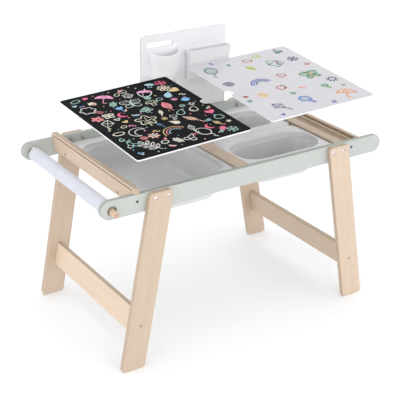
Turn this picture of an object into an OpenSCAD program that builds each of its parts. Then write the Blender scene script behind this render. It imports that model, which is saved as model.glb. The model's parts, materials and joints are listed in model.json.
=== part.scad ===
// A child's play table: a plywood frame on splayed legs, three hanging storage bins under two
// lift-off drawing boards, a paper roll at the left end, a grooved tray at the right end and an
// organiser standing behind.
// X runs along the rails, Y towards the back and Z up, in millimetres. The origin is on the
// floor under the middle of the table. The lids are drawn lifted off their seats and tilted.

/* [Table] */
// Height of the rails' top edge above the floor
table_h = 500; // [440:5:560]
// Length of the two rails, over their round ends
rail_len = 910; // [890:5:960]
// Height of a rail's face
rail_h = 51; // [49:1:58]
// Depth of the table over the outer faces of the rails
table_d = 473; // [473:1:520]
// Thickness of the plywood
ply = 15; // [14:0.5:15]

/* [Legs] */
// Width of a leg, square to its edges
leg_w = 67.5; // [60:0.5:72]
// Lean of the legs along the rails, in degrees
leg_lean = 10.6; // [8:0.1:12]
// Distance from the middle of the table to the middle of a foot
foot_x = 381; // [370:1:390]
// Radius of a leg's corners
leg_corner_r = 10; // [4:1:14]
// Width of the side stretchers
stretcher_w = 70; // [50:1:80]
// Height of a stretcher's middle above the floor
stretcher_z = 129; // [90:1:200]

/* [Cross pieces] */
// Distance of the lids' seats below the rails' top edge
seat_drop = 15; // [12:0.5:16]
// Distance of the bins' ledges below the lids' seats
ledge_drop = 10; // [8:0.5:11]
// Width of the middle bar's seat
middle_seat_w = 42; // [38:1:43]
// Width that a ledge reaches under a bin's flange
ledge_w = 7.5; // [5:0.5:8]
// Inner face of the left cross board, from the middle of the table
cross_board_x = 345; // [345:0.5:347]
// Rise of the left cross board over the rails
cross_board_rise = 15; // [14:1:20]
// Height of the paper slot in the left cross board
paper_slot_h = 3; // [2:0.5:4]
// Width of the tray board's top
tray_w = 92; // [90:1:98]
// Width of the tray's shallow groove, which is half round
shallow_groove_w = 28; // [20:1:28]
// Width of the tray's deep groove
deep_groove_w = 18; // [12:1:18]
// Depth of the tray's deep groove
deep_groove_d = 21; // [14:1:24]

/* [Bins] */
// Width of a bin's flange along the rails
bin_w = 298; // [292:1:298]
// Length of the left bin's flange across the table
long_bin_d = 424; // [420:1:430]
// Height of a bin under its flange's top
bin_h = 80; // [60:1:90]
// Thickness of a bin's walls
bin_wall = 2.5; // [1.5:0.1:3]
// Width of the flange beside the mouth, along the rails
rim_x = 12; // [10:0.5:14]
// Width of the long bin's flange at its two ends
long_rim_y = 32; // [26:1:36]
// Width of a short bin's flange at its two ends
short_rim_y = 40; // [34:1:42]

/* [Lids] */
// Width of a lid along the rails
lid_w = 340; // [338:0.5:341]
// Depth of a lid across the table
lid_d = 433; // [425:1:436]
// Thickness of a lid's board
lid_board_t = 4.2; // [3:0.1:5]
// Thickness of the writing face on the board
lid_face_t = 0.8; // [0.5:0.1:1]
// Radius of the finger notch in a lid's inner edge
notch_r = 17; // [12:1:20]
// Angle by which the lids are swung up off their seats: left and right
lid_swing = [3.96, 5.24]; // [3:0.02:6]

/* [Paper roll] */
// Outer radius of the paper on the roll
roll_r = 19.5; // [15:0.5:21]
// Length of the paper roll
roll_len = 420; // [380:5:430]
// Distance from the middle of the table to the roll
roll_x = 423.5; // [420:0.5:424]
// Radius of the dowel
dowel_r = 9; // [8:0.5:9]
// Length that the dowel stands out of each rail
dowel_out = 22; // [16:1:30]
// Radius of the dowel's holes in the rails
dowel_hole_r = 12.5; // [10:0.5:13]

/* [Organiser] */
// Width of the organiser's panel
panel_w = 299; // [290:1:310]
// Height of the panel's top above the floor
panel_top = 745; // [730:5:800]
// Thickness of the panel
panel_t = 4; // [3:0.5:5]
// Width of the round pocket at its rim
cup_w = 105; // [90:1:110]
// Depth of the round pocket at its rim
cup_d = 48; // [40:1:50]
// Width of the box pocket
box_w = 145; // [120:1:145]
// Depth of the box pocket at its rim
box_d = 33; // [28:1:34]
// Depth of the box pocket at its foot
box_foot_d = 17; // [14:1:22]

/* [Hidden] */
$fn = 64;
// Cuts run this far past the faces they open
over = 1;
// Slack round a fastener in its hole
slack = 0.1;
// Thickness of the thin slices that a tapered wall is stretched between
slice_t = 0.01;
// Steps in a quarter turn of an outline's corner
arc_steps = 8;

FRONT = -1;
REAR = 1;
LEFT = -1;
RIGHT = 1;

sage = [0.83, 0.86, 0.83];
birch = [0.88, 0.78, 0.68];
white = [0.95, 0.95, 0.96];
blackboard = [0.13, 0.13, 0.14];
steel = [0.62, 0.62, 0.63];
card = [0.72, 0.6, 0.46];

outer_y = table_d / 2;
inner_y = outer_y - ply;
leg_y = outer_y + ply;
rail_z = table_h - rail_h / 2;
seat_z = table_h - seat_drop;
ledge_z = seat_z - ledge_drop;

// Legs and stretchers
leg_flat_w = leg_w / cos(leg_lean);
leg_top_z = table_h - 1;
bolt_z = table_h - 16;
bolt_gap = 36;
bolt_middle_x = 288;

// Cross pieces
batten_z = ledge_z - 15;
flange_x = cross_board_x - 25;
middle_ledge_w = middle_seat_w + 2 * ledge_w + 1;
tray_bottom_z = ledge_z - 20;
tray_flat_w = 29;
tray_ridge_w = 5;
groove_end = 2;
shallow_groove_x = flange_x + tray_flat_w + shallow_groove_w / 2;
deep_groove_x = shallow_groove_x + (shallow_groove_w + deep_groove_w) / 2 + tray_ridge_w;
cross_board_bottom_z = table_h - 35;
paper_slot_z = table_h + cross_board_rise / 2 - 2;
paper_slot_end = 13;

// Bins
flange_t = 5;
flange_lip = 2.5;
flange_web = 2.5;
flange_corner_r = 26;
bin_fit = 0.5;
bin_x = flange_x - bin_w / 2 - bin_fit;
short_bin_d = (long_bin_d - bin_fit) / 2;
long_mouth_r = 50;
short_mouth_r = 58;
shoulder_drop = 13;
shoulder_step = 3;
mouth_draft = 2;
foot_inset_x = 27;
foot_inset_y = 2;
foot_rounding = 0.8;

// Lids
lid_gap = 0.6;
lid_corner_r = 8;
lid_x = (lid_w + lid_gap) / 2;
// The lids swing about far axes in front of the table: a point and the direction of each
lid_swing_middles = [[-1424, -1371, 14], [-919, -1525, 498]];
lid_swing_axes = [[0.75, -0.656, -0.086], [0.741, -0.533, -0.409]];

// Paper roll
dowel_hole_z = table_h - 27.5;
dowel_z = dowel_hole_z - (dowel_hole_r - dowel_r) + 0.3;
dowel_chamfer = 1.5;
dowel_len = table_d + 2 * dowel_out;
core_slack = 0.6;
core_wall = 3;
core_r = dowel_r + core_slack + core_wall;

// Organiser
panel_left_x = -65;
panel_corner_r = 14;
panel_foot_r = 4;
panel_foot_z = table_h - rail_h + 5;
hand_slot_x = 1;
hand_slot_w = 88;
hand_slot_h = 16;
hand_slot_z = panel_top - 30;
pocket_wall = 2.5;
cup_x = 9.5;
cup_rim_z = panel_top - 39;
cup_h = 109;
cup_rim_fall = 18;
cup_taper = 11.5;
box_x = panel_left_x + panel_w - 1 - box_w / 2;
box_rim_z = panel_top - 57;
box_h = 92;
box_corner_r = 5;

// Fasteners
bolt_r = 3;
bolt_head_r = 7;
bolt_head_h = 2.5;
bolt_len = 26;
nut_r = 4.5;
nut_cap_r = 6;
nut_cap_h = 2;
nut_len = 12;
screw_r = 2;
screw_head_r = 4;
screw_head_h = 2.2;
screw_tip = 4;
stretcher_screw_len = 55;
cross_screw_len = 45;
ledge_screw_len = 30;
cross_screw_z = table_h - 19;
peg_r = 4;
peg_len = 26;
peg_in_rail = 10;
rivet_r = 2;
rivet_head_r = 4;
rivet_crown_r = 2.4;
rivet_head_h = 1.5;
panel_screw_len = 14;

leg_bolt_spots = [
    for (side = [FRONT, REAR], end = [LEFT, RIGHT], step = [-1, 1])
        [end * (bolt_middle_x + step * bolt_gap / 2), side * leg_y, bolt_z]
];
stretcher_screw_spots = [
    for (side = [FRONT, REAR], end = [LEFT, RIGHT])
        [end * leg_x(stretcher_z), side * leg_y, stretcher_z]
];
cross_screw_xs = [-cross_board_x - ply / 2, flange_x + tray_flat_w - screw_r - over];
cross_screw_spots = [
    for (side = [FRONT, REAR], x = cross_screw_xs) [x, side * outer_y, cross_screw_z]
];
cross_peg_places = [[-15, batten_z + 8], [15, batten_z + 8], [flange_x + 15, tray_bottom_z + 8]];
cross_peg_spots = [
    for (side = [FRONT, REAR], place = cross_peg_places)
        [place.x, side * (inner_y + peg_in_rail), place.y]
];
ledge_screw_ys = [-150, 150];
panel_screw_xs = [-40, 85, 205];
rivet_spots = [
    for (x = [cup_x - 22, cup_x + 22, box_x - 50, box_x + 50]) [x, panel_top - 80]
];

// Middle of a leg at a height above the floor
function leg_x(z) = foot_x - z * tan(leg_lean);

function unit(v) = v / norm(v);

// Points of the arc of radius r that rounds the corner b between a and c
function corner_arc(a, b, c, r) =
    let (
        u = unit(a - b),
        v = unit(c - b),
        half = acos(u * v) / 2,
        middle = b + unit(u + v) * r / sin(half),
        first = b + u * r / tan(half) - middle,
        last = b + v * r / tan(half) - middle,
        start = atan2(first.y, first.x),
        turn = (atan2(last.y, last.x) - start + 540) % 360 - 180
    )
    r == 0 ? [b] : [
        for (i = [0 : arc_steps])
            middle + r * [cos(start + turn * i / arc_steps), sin(start + turn * i / arc_steps)]
    ];

// An outline with each corner rounded by the radius listed for it
function rounded(corners, radii) =
    let (n = len(corners))
    [
        for (i = [0 : n - 1])
            each corner_arc(corners[(i + n - 1) % n], corners[i], corners[(i + 1) % n], radii[i])
    ];

// A rounded rectangle about the origin
function rectangle(w, d, r) =
    rounded([[w, d] / 2, [-w, d] / 2, [-w, -d] / 2, [w, -d] / 2], [r, r, r, r]);

// Half an ellipse that bulges towards -Y from a flat back on the X axis
function half_ellipse(half_w, d) =
    [for (i = [0 : 3 * arc_steps]) let (a = 180 * i / (3 * arc_steps)) [half_w * cos(a), -d * sin(a)]];

// A board whose outline is drawn in X and Z, from y to y + t
module board_y(y, t) {
    translate([0, y + t, 0]) rotate([90, 0, 0]) linear_extrude(t) children();
}

// A board whose outline is drawn in Y and Z, from x to x + t
module board_x(x, t) {
    translate([x, 0, 0]) rotate([90, 0, 90]) linear_extrude(t) children();
}

// Turns a fastener, drawn along +Z, to point inwards from a front or rear face
module from_face(spot) {
    translate(spot) rotate([90 * sign(spot.y), 0, 0]) children();
}

// A cross recess cut into a head, from z = 0 inwards
module cross_recess(w, depth) {
    for (turn = [0, 90])
        rotate([0, 0, turn]) translate([-w / 2, -w / 8, -over]) cube([w, w / 4, depth + over]);
}

// A bolt whose head stands out of the face at z = 0
module pan_bolt(head_r, head_h, shank_r, length) {
    difference() {
        union() {
            translate([0, 0, -head_h]) cylinder(h = head_h, r1 = head_r * 0.8, r2 = head_r);
            cylinder(h = length, r = shank_r);
        }
        translate([0, 0, -head_h]) cross_recess(head_r, head_h * 0.6);
    }
}

// A countersunk screw, flush with the face at z = 0, or grown into the hole for it
module countersunk(length, grow = 0) {
    rotate_extrude() polygon([
        [0, 0],
        [screw_head_r + grow, 0],
        [screw_r + grow, screw_head_h + grow],
        [screw_r + grow, length - screw_tip],
        [0, length + grow]
    ]);
}

module screw(length) {
    difference() {
        countersunk(length);
        cross_recess(screw_head_r, 1);
    }
}

module screw_hole(length) {
    countersunk(length, slack);
    translate([0, 0, -over]) cylinder(h = over, r = screw_head_r + slack);
}

// A wooden peg with bevelled ends
module peg(length, r, bevel) {
    rotate_extrude() polygon([
        [0, 0], [r - bevel, 0], [r, bevel], [r, length - bevel], [r - bevel, length], [0, length]
    ]);
}

module rail(side) {
    color(sage) difference() {
        board_y(side * (outer_y + inner_y) / 2 - ply / 2, ply) translate([0, rail_z]) {
            square([rail_len - rail_h, rail_h], center = true);
            for (end = [LEFT, RIGHT])
                translate([end * (rail_len - rail_h) / 2, 0]) circle(r = rail_h / 2);
        }
        translate([-roll_x, side * (inner_y - over), dowel_hole_z])
            rotate([-90 * side, 0, 0]) cylinder(h = ply + 2 * over, r = dowel_hole_r);
        for (spot = leg_bolt_spots)
            if (sign(spot.y) == side)
                from_face(spot) translate([0, 0, ply - over])
                    cylinder(h = ply + 2 * over, r = nut_r + slack);
        for (spot = cross_screw_spots)
            if (sign(spot.y) == side) from_face(spot) screw_hole(cross_screw_len);
        for (spot = cross_peg_spots)
            if (sign(spot.y) == side) from_face(spot) peg(peg_len, peg_r + slack, 0);
        if (side == REAR)
            for (x = panel_screw_xs)
                panel_screw_place(x) screw_bore(panel_screw_len + over);
    }
}

// A leg on the outer face of a rail, with its foot cut level
module leg(end, side) {
    outline = [
        [end * (leg_x(0) - leg_flat_w / 2), 0],
        [end * (leg_x(0) + leg_flat_w / 2), 0],
        [end * (leg_x(leg_top_z) + leg_flat_w / 2), leg_top_z],
        [end * (leg_x(leg_top_z) - leg_flat_w / 2), leg_top_z]
    ];
    r = leg_corner_r;
    color(birch) difference() {
        board_y(side * (outer_y + leg_y) / 2 - ply / 2, ply) polygon(rounded(outline, [r, r, r, r]));
        for (spot = leg_bolt_spots)
            if (sign(spot.y) == side && sign(spot.x) == end)
                from_face(spot) translate([0, 0, -over]) cylinder(h = ply + 2 * over, r = bolt_r + slack);
        for (spot = stretcher_screw_spots)
            if (sign(spot.y) == side && sign(spot.x) == end)
                from_face(spot) screw_hole(stretcher_screw_len);
    }
}

// A board between a front and a rear leg, leaning with them
module stretcher(end) {
    color(birch) difference() {
        translate([end * leg_x(stretcher_z), 0, stretcher_z]) rotate([0, -end * leg_lean, 0])
            cube([ply, table_d, stretcher_w], center = true);
        for (spot = stretcher_screw_spots)
            if (sign(spot.x) == end) from_face(spot) screw_hole(stretcher_screw_len);
    }
}

module left_cross_board() {
    top_z = table_h + cross_board_rise;
    outline = [
        [-inner_y, cross_board_bottom_z], [inner_y, cross_board_bottom_z],
        [inner_y, table_h], [outer_y, table_h], [outer_y, top_z],
        [-outer_y, top_z], [-outer_y, table_h], [-inner_y, table_h]
    ];
    color(birch) difference() {
        board_x(-cross_board_x - ply, ply) polygon(rounded(outline, [0, 0, 0, 0, 9, 9, 0, 0]));
        translate([-cross_board_x - ply - over, paper_slot_end - outer_y, paper_slot_z])
            cube([ply + 2 * over, table_d - 2 * paper_slot_end, paper_slot_h]);
        for (spot = cross_screw_spots)
            if (spot.x < 0) from_face(spot) screw_hole(cross_screw_len);
        for (y = ledge_screw_ys)
            ledge_screw_place(y) screw_hole(ledge_screw_len);
    }
}

module ledge_screw_place(y) {
    translate([-cross_board_x - ply, y, ledge_z]) rotate([0, 90, 0]) children();
}

// Seat of the left lid, with a lower ledge for the bin's flange
module left_ledge() {
    color(birch) difference() {
        board_y(-inner_y, 2 * inner_y) polygon([
            [-cross_board_x, batten_z], [-flange_x + ledge_w, batten_z],
            [-flange_x + ledge_w, ledge_z], [-flange_x, ledge_z],
            [-flange_x, seat_z], [-cross_board_x, seat_z]
        ]);
        for (y = ledge_screw_ys)
            ledge_screw_place(y) screw_hole(ledge_screw_len);
    }
}

// Seat of both lids' inner edges, with a ledge on each side for the bins' flanges
module middle_bar() {
    seat = middle_seat_w / 2;
    ledge = middle_ledge_w / 2;
    color(birch) difference() {
        board_y(-inner_y, 2 * inner_y) polygon([
            [-ledge, batten_z], [ledge, batten_z], [ledge, ledge_z], [seat, ledge_z],
            [seat, seat_z], [-seat, seat_z], [-seat, ledge_z], [-ledge, ledge_z]
        ]);
        for (spot = cross_peg_spots)
            from_face(spot) peg(peg_len, peg_r + slack, 0);
    }
}

// A groove along Y with a round bottom and round ends, open at the seat's height
module groove(x, w, depth) {
    r = w / 2;
    reach = inner_y - groove_end - r;
    translate([x, 0, seat_z - depth + r]) {
        rotate([90, 0, 0]) cylinder(h = 2 * reach, r = r, center = true);
        for (side = [FRONT, REAR]) {
            translate([0, side * reach, 0]) sphere(r = r);
            translate([0, side * reach, 0]) cylinder(h = depth - r + over, r = r);
        }
        translate([-r, -reach, 0]) cube([w, 2 * reach, depth - r + over]);
    }
}

module tray_board() {
    right_x = flange_x + tray_w;
    color(birch) difference() {
        board_y(-inner_y, 2 * inner_y) polygon([
            [flange_x - ledge_w, tray_bottom_z], [right_x, tray_bottom_z], [right_x, seat_z],
            [flange_x, seat_z], [flange_x, ledge_z], [flange_x - ledge_w, ledge_z]
        ]);
        groove(shallow_groove_x, shallow_groove_w, shallow_groove_w / 2);
        groove(deep_groove_x, deep_groove_w, deep_groove_d);
        for (spot = cross_screw_spots)
            if (spot.x > 0) from_face(spot) screw_hole(cross_screw_len);
        for (spot = cross_peg_spots)
            from_face(spot) peg(peg_len, peg_r + slack, 0);
    }
}

module slice(w, d, r, z) {
    translate([0, 0, z]) linear_extrude(slice_t) polygon(rectangle(w, d, r));
}

// The space in a bin, or its outer skin when grown by the wall
module bin_space(mouth_w, mouth_d, r, grow) {
    shoulder_w = mouth_w - 2 * mouth_draft;
    shoulder_d = mouth_d - 2 * mouth_draft;
    basin_w = shoulder_w - 2 * shoulder_step;
    basin_d = shoulder_d - 2 * shoulder_step;
    foot_w = basin_w - 2 * foot_inset_x;
    foot_d = basin_d - 2 * foot_inset_y;
    hull() {
        slice(mouth_w + 2 * grow, mouth_d + 2 * grow, r + grow, grow > 0 ? -flange_web : over);
        slice(shoulder_w + 2 * grow, shoulder_d + 2 * grow, r + grow, -shoulder_drop - grow);
    }
    hull() {
        slice(basin_w + 2 * grow, basin_d + 2 * grow, r + grow, -shoulder_drop + slice_t);
        slice(foot_w + 2 * grow, foot_d + 2 * grow, r * foot_rounding + grow, -bin_h + bin_wall - grow);
    }
}

// A storage bin that hangs by its flange; its origin is the middle of the flange's top
module bin(d, rim_y, r) {
    mouth_w = bin_w - 2 * rim_x;
    mouth_d = d - 2 * rim_y;
    lip = flange_lip;
    color(white) difference() {
        union() {
            difference() {
                translate([0, 0, -flange_t]) linear_extrude(flange_t)
                    polygon(rectangle(bin_w, d, flange_corner_r));
                translate([0, 0, -flange_t - over]) linear_extrude(flange_t - flange_web + over)
                    polygon(rectangle(bin_w - 2 * lip, d - 2 * lip, flange_corner_r - lip));
            }
            bin_space(mouth_w, mouth_d, r, bin_wall);
        }
        bin_space(mouth_w, mouth_d, r, 0);
    }
}

module left_bin() {
    translate([-bin_x, 0, ledge_z + flange_t]) bin(long_bin_d, long_rim_y, long_mouth_r);
}

module near_right_bin() {
    translate([bin_x, -(short_bin_d + bin_fit) / 2, ledge_z + flange_t])
        bin(short_bin_d, short_rim_y, short_mouth_r);
}

module far_right_bin() {
    translate([bin_x, (short_bin_d + bin_fit) / 2, ledge_z + flange_t])
        bin(short_bin_d, short_rim_y, short_mouth_r);
}

// One layer of a lid, from z to z + t over its seat, swung up with the lid
module lid_layer(end, z, t) {
    i = end == LEFT ? 0 : 1;
    middle = lid_swing_middles[i];
    translate(middle) rotate(a = lid_swing[i], v = lid_swing_axes[i])
        translate([end * lid_x, 0, seat_z + z] - middle) linear_extrude(t) difference() {
            polygon(rectangle(lid_w, lid_d, lid_corner_r));
            translate([-end * lid_w / 2, 0]) circle(r = notch_r);
        }
}

module chalk_lid_board() {
    color(white) lid_layer(LEFT, 0, lid_board_t);
}

module chalk_lid_face() {
    color(blackboard) lid_layer(LEFT, lid_board_t, lid_face_t);
}

module white_lid_board() {
    color(white) lid_layer(RIGHT, 0, lid_board_t);
}

module white_lid_face() {
    color(white) lid_layer(RIGHT, lid_board_t, lid_face_t);
}

// A round bar along Y, centred on the roll's axis
module roll_bar(length, r) {
    translate([-roll_x, 0, dowel_z]) rotate([90, 0, 0]) cylinder(h = length, r = r, center = true);
}

module roll_dowel() {
    color(birch) translate([-roll_x, dowel_len / 2, dowel_z])
        rotate([90, 0, 0]) peg(dowel_len, dowel_r, dowel_chamfer);
}

module roll_core() {
    color(card) difference() {
        roll_bar(roll_len, core_r);
        roll_bar(roll_len + 2 * over, dowel_r + core_slack);
    }
}

module paper_roll() {
    color(white) difference() {
        roll_bar(roll_len, roll_r);
        roll_bar(roll_len + 2 * over, core_r + slack / 2);
    }
}

module organiser_panel() {
    right_x = panel_left_x + panel_w;
    outline = [
        [panel_left_x, panel_foot_z], [right_x, panel_foot_z],
        [right_x, panel_top], [panel_left_x, panel_top]
    ];
    radii = [panel_foot_r, panel_foot_r, panel_corner_r, panel_corner_r];
    color(white) difference() {
        board_y(outer_y, panel_t) difference() {
            polygon(rounded(outline, radii));
            translate([hand_slot_x, hand_slot_z])
                polygon(rectangle(hand_slot_w, hand_slot_h, hand_slot_h / 2 - slack));
        }
        for (spot = rivet_spots)
            rivet_place(spot) rivet_hole();
        for (x = panel_screw_xs)
            panel_screw_place(x) screw_bore(panel_screw_len);
    }
}

// Puts a screw, drawn along +Z, through the panel and into the rear rail
module panel_screw_place(x) {
    translate([x, outer_y + panel_t, rail_z]) rotate([90, 0, 0]) children();
}

module screw_bore(length) {
    translate([0, 0, -over]) cylinder(h = length + over, r = screw_r + slack);
}

// Puts a rivet, drawn along +Z, through the panel from its rear face
module rivet_place(spot) {
    translate([spot.x, outer_y + panel_t, spot.y]) rotate([90, 0, 0]) children();
}

module rivet_hole() {
    translate([0, 0, -over]) cylinder(h = panel_t + pocket_wall + 2 * over, r = rivet_r + slack);
}

// The round pocket between its foot and a level rim, drawn in its own plan
module cup_taper_solid(inset) {
    half_w = cup_w / 2 - inset;
    d = cup_d - 2 * inset;
    translate([cup_x, outer_y - inset, cup_rim_z]) hull() {
        translate([0, 0, inset - cup_h]) linear_extrude(slice_t)
            polygon(half_ellipse(half_w - cup_taper, d - cup_taper));
        translate([0, 0, inset > 0 ? over : 0]) linear_extrude(slice_t) polygon(half_ellipse(half_w, d));
    }
}

module organiser_cup() {
    color(white) difference() {
        cup_taper_solid(0);
        cup_taper_solid(pocket_wall);
        translate([cup_x, outer_y, cup_rim_z]) rotate([atan(cup_rim_fall / cup_d), 0, 0])
            translate([-cup_w, -2 * cup_d, 0]) cube([2 * cup_w, 3 * cup_d, cup_h]);
        for (spot = rivet_spots)
            rivet_place(spot) rivet_hole();
    }
}

// The box pocket's wedge, which leans out from its foot to its rim
module box_taper_solid(inset) {
    w = box_w - 2 * inset;
    d = box_d - 2 * inset;
    foot_d = box_foot_d - 2 * inset;
    r = box_corner_r - inset / 2;
    translate([box_x, outer_y - inset, box_rim_z]) hull() {
        translate([0, -foot_d / 2, inset - box_h]) linear_extrude(slice_t) polygon(rectangle(w, foot_d, r));
        translate([0, -d / 2, inset > 0 ? over : 0]) linear_extrude(slice_t) polygon(rectangle(w, d, r));
    }
}

module organiser_box() {
    color(white) difference() {
        box_taper_solid(0);
        box_taper_solid(pocket_wall);
        for (spot = rivet_spots)
            rivet_place(spot) rivet_hole();
    }
}

module leg_bolts() {
    color(steel) for (spot = leg_bolt_spots)
        from_face(spot) pan_bolt(bolt_head_r, bolt_head_h, bolt_r, bolt_len);
}

// Sleeve nuts, let into the rails from inside
module leg_nuts() {
    color(steel) for (spot = leg_bolt_spots)
        from_face(spot) translate([0, 0, 2 * ply]) difference() {
            union() {
                cylinder(h = nut_cap_h, r = nut_cap_r);
                translate([0, 0, -nut_len]) cylinder(h = nut_len, r = nut_r);
            }
            translate([0, 0, -nut_len - over]) cylinder(h = nut_len - over, r = bolt_r + slack);
            cylinder(h = nut_cap_h + over, r = nut_cap_r / 2, $fn = 6);
        }
}

module stretcher_screws() {
    color(steel) for (spot = stretcher_screw_spots)
        from_face(spot) screw(stretcher_screw_len);
}

module cross_screws() {
    color(steel) for (spot = cross_screw_spots)
        from_face(spot) screw(cross_screw_len);
}

module cross_dowels() {
    color(birch) for (spot = cross_peg_spots)
        from_face(spot) translate([0, 0, slack]) peg(peg_len - 2 * slack, peg_r, 1);
}

module ledge_screws() {
    color(steel) for (y = ledge_screw_ys)
        ledge_screw_place(y) screw(ledge_screw_len);
}

module organiser_screws() {
    color(steel) for (x = panel_screw_xs)
        panel_screw_place(x) pan_bolt(screw_head_r, rivet_head_h, screw_r, panel_screw_len);
}

module pocket_rivets() {
    color(steel) for (spot = rivet_spots)
        rivet_place(spot) {
            translate([0, 0, -rivet_head_h])
                cylinder(h = rivet_head_h, r1 = rivet_crown_r, r2 = rivet_head_r);
            cylinder(h = panel_t + pocket_wall, r = rivet_r);
            translate([0, 0, panel_t + pocket_wall])
                cylinder(h = rivet_head_h, r1 = rivet_head_r, r2 = rivet_crown_r);
        }
}

rail(FRONT);  // front_rail
rail(REAR);  // rear_rail
leg(LEFT, FRONT);  // front_left_leg
leg(RIGHT, FRONT);  // front_right_leg
leg(LEFT, REAR);  // rear_left_leg
leg(RIGHT, REAR);  // rear_right_leg
stretcher(LEFT);  // left_stretcher
stretcher(RIGHT);  // right_stretcher
left_cross_board();
left_ledge();
middle_bar();
tray_board();
organiser_panel();
organiser_cup();
organiser_box();
leg_bolts();
leg_nuts();
stretcher_screws();
cross_screws();
cross_dowels();
ledge_screws();
organiser_screws();
pocket_rivets();
left_bin();
near_right_bin();
far_right_bin();
chalk_lid_board();
chalk_lid_face();
white_lid_board();
white_lid_face();
roll_dowel();
roll_core();
paper_roll();
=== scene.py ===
import json
import random
from math import asin, cos, degrees, exp, pi, radians, sin

import bmesh
import bpy
from mathutils import Matrix, Vector

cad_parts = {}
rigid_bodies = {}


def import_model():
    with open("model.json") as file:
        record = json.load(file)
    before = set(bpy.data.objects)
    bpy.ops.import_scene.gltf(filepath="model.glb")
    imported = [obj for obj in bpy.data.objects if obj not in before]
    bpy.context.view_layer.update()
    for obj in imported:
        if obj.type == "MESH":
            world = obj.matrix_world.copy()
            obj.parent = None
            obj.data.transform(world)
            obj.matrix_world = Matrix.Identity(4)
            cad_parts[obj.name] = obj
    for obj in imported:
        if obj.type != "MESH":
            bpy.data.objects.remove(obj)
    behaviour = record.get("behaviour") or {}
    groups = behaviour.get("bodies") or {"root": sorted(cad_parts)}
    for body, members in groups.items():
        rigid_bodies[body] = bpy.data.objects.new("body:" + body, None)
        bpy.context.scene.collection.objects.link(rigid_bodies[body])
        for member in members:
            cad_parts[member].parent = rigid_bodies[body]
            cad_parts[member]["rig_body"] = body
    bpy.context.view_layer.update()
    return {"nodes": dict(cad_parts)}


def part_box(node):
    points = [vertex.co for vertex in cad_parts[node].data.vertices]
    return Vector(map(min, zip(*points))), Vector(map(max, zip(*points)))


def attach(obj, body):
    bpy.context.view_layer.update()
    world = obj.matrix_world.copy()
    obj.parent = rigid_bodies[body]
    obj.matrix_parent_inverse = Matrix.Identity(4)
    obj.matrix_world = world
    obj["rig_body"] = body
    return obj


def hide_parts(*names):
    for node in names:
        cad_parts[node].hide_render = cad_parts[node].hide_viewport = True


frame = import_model()
cadNodes = frame["nodes"]
mm = 0.001
samePoint = 2e-6  # points nearer to each other than this, in metres, are one point
flatAngle = 0.4  # faces that turn by less than this, in degrees, are one face
print("table frame loaded:", len(cadNodes), "nodes")


# a socket is given a value, a socket, a node, which stands for its first output, or a list
def feed(tree, socket, value):
    if isinstance(value, list):
        for each in value:
            feed(tree, socket, each)
        return
    if isinstance(value, bpy.types.Node):
        value = value.outputs[0]
    if isinstance(value, bpy.types.NodeSocket):
        tree.links.new(value, socket)
    elif socket.type == "RGBA":
        socket.default_value = (*value, 1.0)
    else:
        socket.default_value = value


def add(tree, kind, inputs=None, **settings):
    made = tree.nodes.new(kind)
    for name, value in settings.items():
        setattr(made, name, value)
    for label, value in (inputs or {}).items():
        feed(tree, made.inputs[label], value)
    return made


def titled(values):
    return {label.title(): value for label, value in values.items()}


def calc(tree, operation, *values):
    return add(tree, "ShaderNodeMath", dict(enumerate(values)), operation=operation)


def ranged(tree, value, low, high, toLow=0.0, toHigh=1.0):
    return add(tree, "ShaderNodeMapRange", {
        "Value": value, "From Min": low, "From Max": high, "To Min": toLow, "To Max": toHigh})


def mapped(tree, where, kind="POINT", **values):
    return add(tree, "ShaderNodeMapping", {"Vector": where, **titled(values)}, vector_type=kind)


def noise(tree, where, scale, **values):
    return add(tree, "ShaderNodeTexNoise", {"Vector": where, "Scale": scale, **titled(values)})


def split(tree, vector):
    return add(tree, "ShaderNodeSeparateXYZ", {0: vector}).outputs


def vectorOf(tree, **values):
    return add(tree, "ShaderNodeCombineXYZ", titled(values))


def mixed(tree, factor, first, second):
    made = add(tree, "ShaderNodeMix", {0: factor, 6: first, 7: second}, data_type="RGBA")
    return made.outputs[2]


# a node group: each input has a kind of socket or a first value, and inside, which makes the
# nodes, gives the outputs by name
def makeGroup(name, kind, inside, inputs):
    tree = bpy.data.node_groups.new(name, kind + "NodeTree")
    if kind == "Geometry":
        tree.is_modifier = True
    for label, start in inputs.items():
        inputKind = start if isinstance(start, str) else type(start).__name__.title()
        socket = tree.interface.new_socket(
            label, in_out="INPUT", socket_type="NodeSocket" + inputKind)
        if start != inputKind:
            socket.default_value = start
    results = inside(tree, tree.nodes.new("NodeGroupInput").outputs)
    outputKind = "NodeSocketGeometry" if kind == "Geometry" else "NodeSocketFloat"
    for label in results:
        tree.interface.new_socket(label, in_out="OUTPUT", socket_type=outputKind)
    add(tree, "NodeGroupOutput", results)
    return tree


def useGroup(tree, group, **inputs):
    return add(tree, "ShaderNodeGroup", titled(inputs), node_tree=group).outputs


# an attribute that a mesh keeps on its points, as Geometry Nodes read it
def stored(tree, label, kind):
    named = add(tree, "GeometryNodeInputNamedAttribute", {"Name": label}, data_type=kind)
    return named.outputs["Attribute"]


# the end of a Geometry Nodes tree: real geometry with its material
def dressed(tree, geometry, material):
    real = add(tree, "GeometryNodeRealizeInstances", {"Geometry": geometry})
    return add(tree, "GeometryNodeSetMaterial", {"Geometry": real, "Material": material})


def keep(mesh, label, kind, field, values):
    attribute = mesh.attributes.new(label, kind, "POINT")
    for item, value in zip(attribute.data, values):
        setattr(item, field, value)


def newObject(name, data, material=None):
    made = bpy.data.objects.new(name, data)
    bpy.context.scene.collection.objects.link(made)
    if material:
        data.materials.clear()
        data.materials.append(material)
    return made


def meshOf(work, name):
    mesh = bpy.data.meshes.new(name)
    work.to_mesh(mesh)
    work.free()
    return mesh


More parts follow.
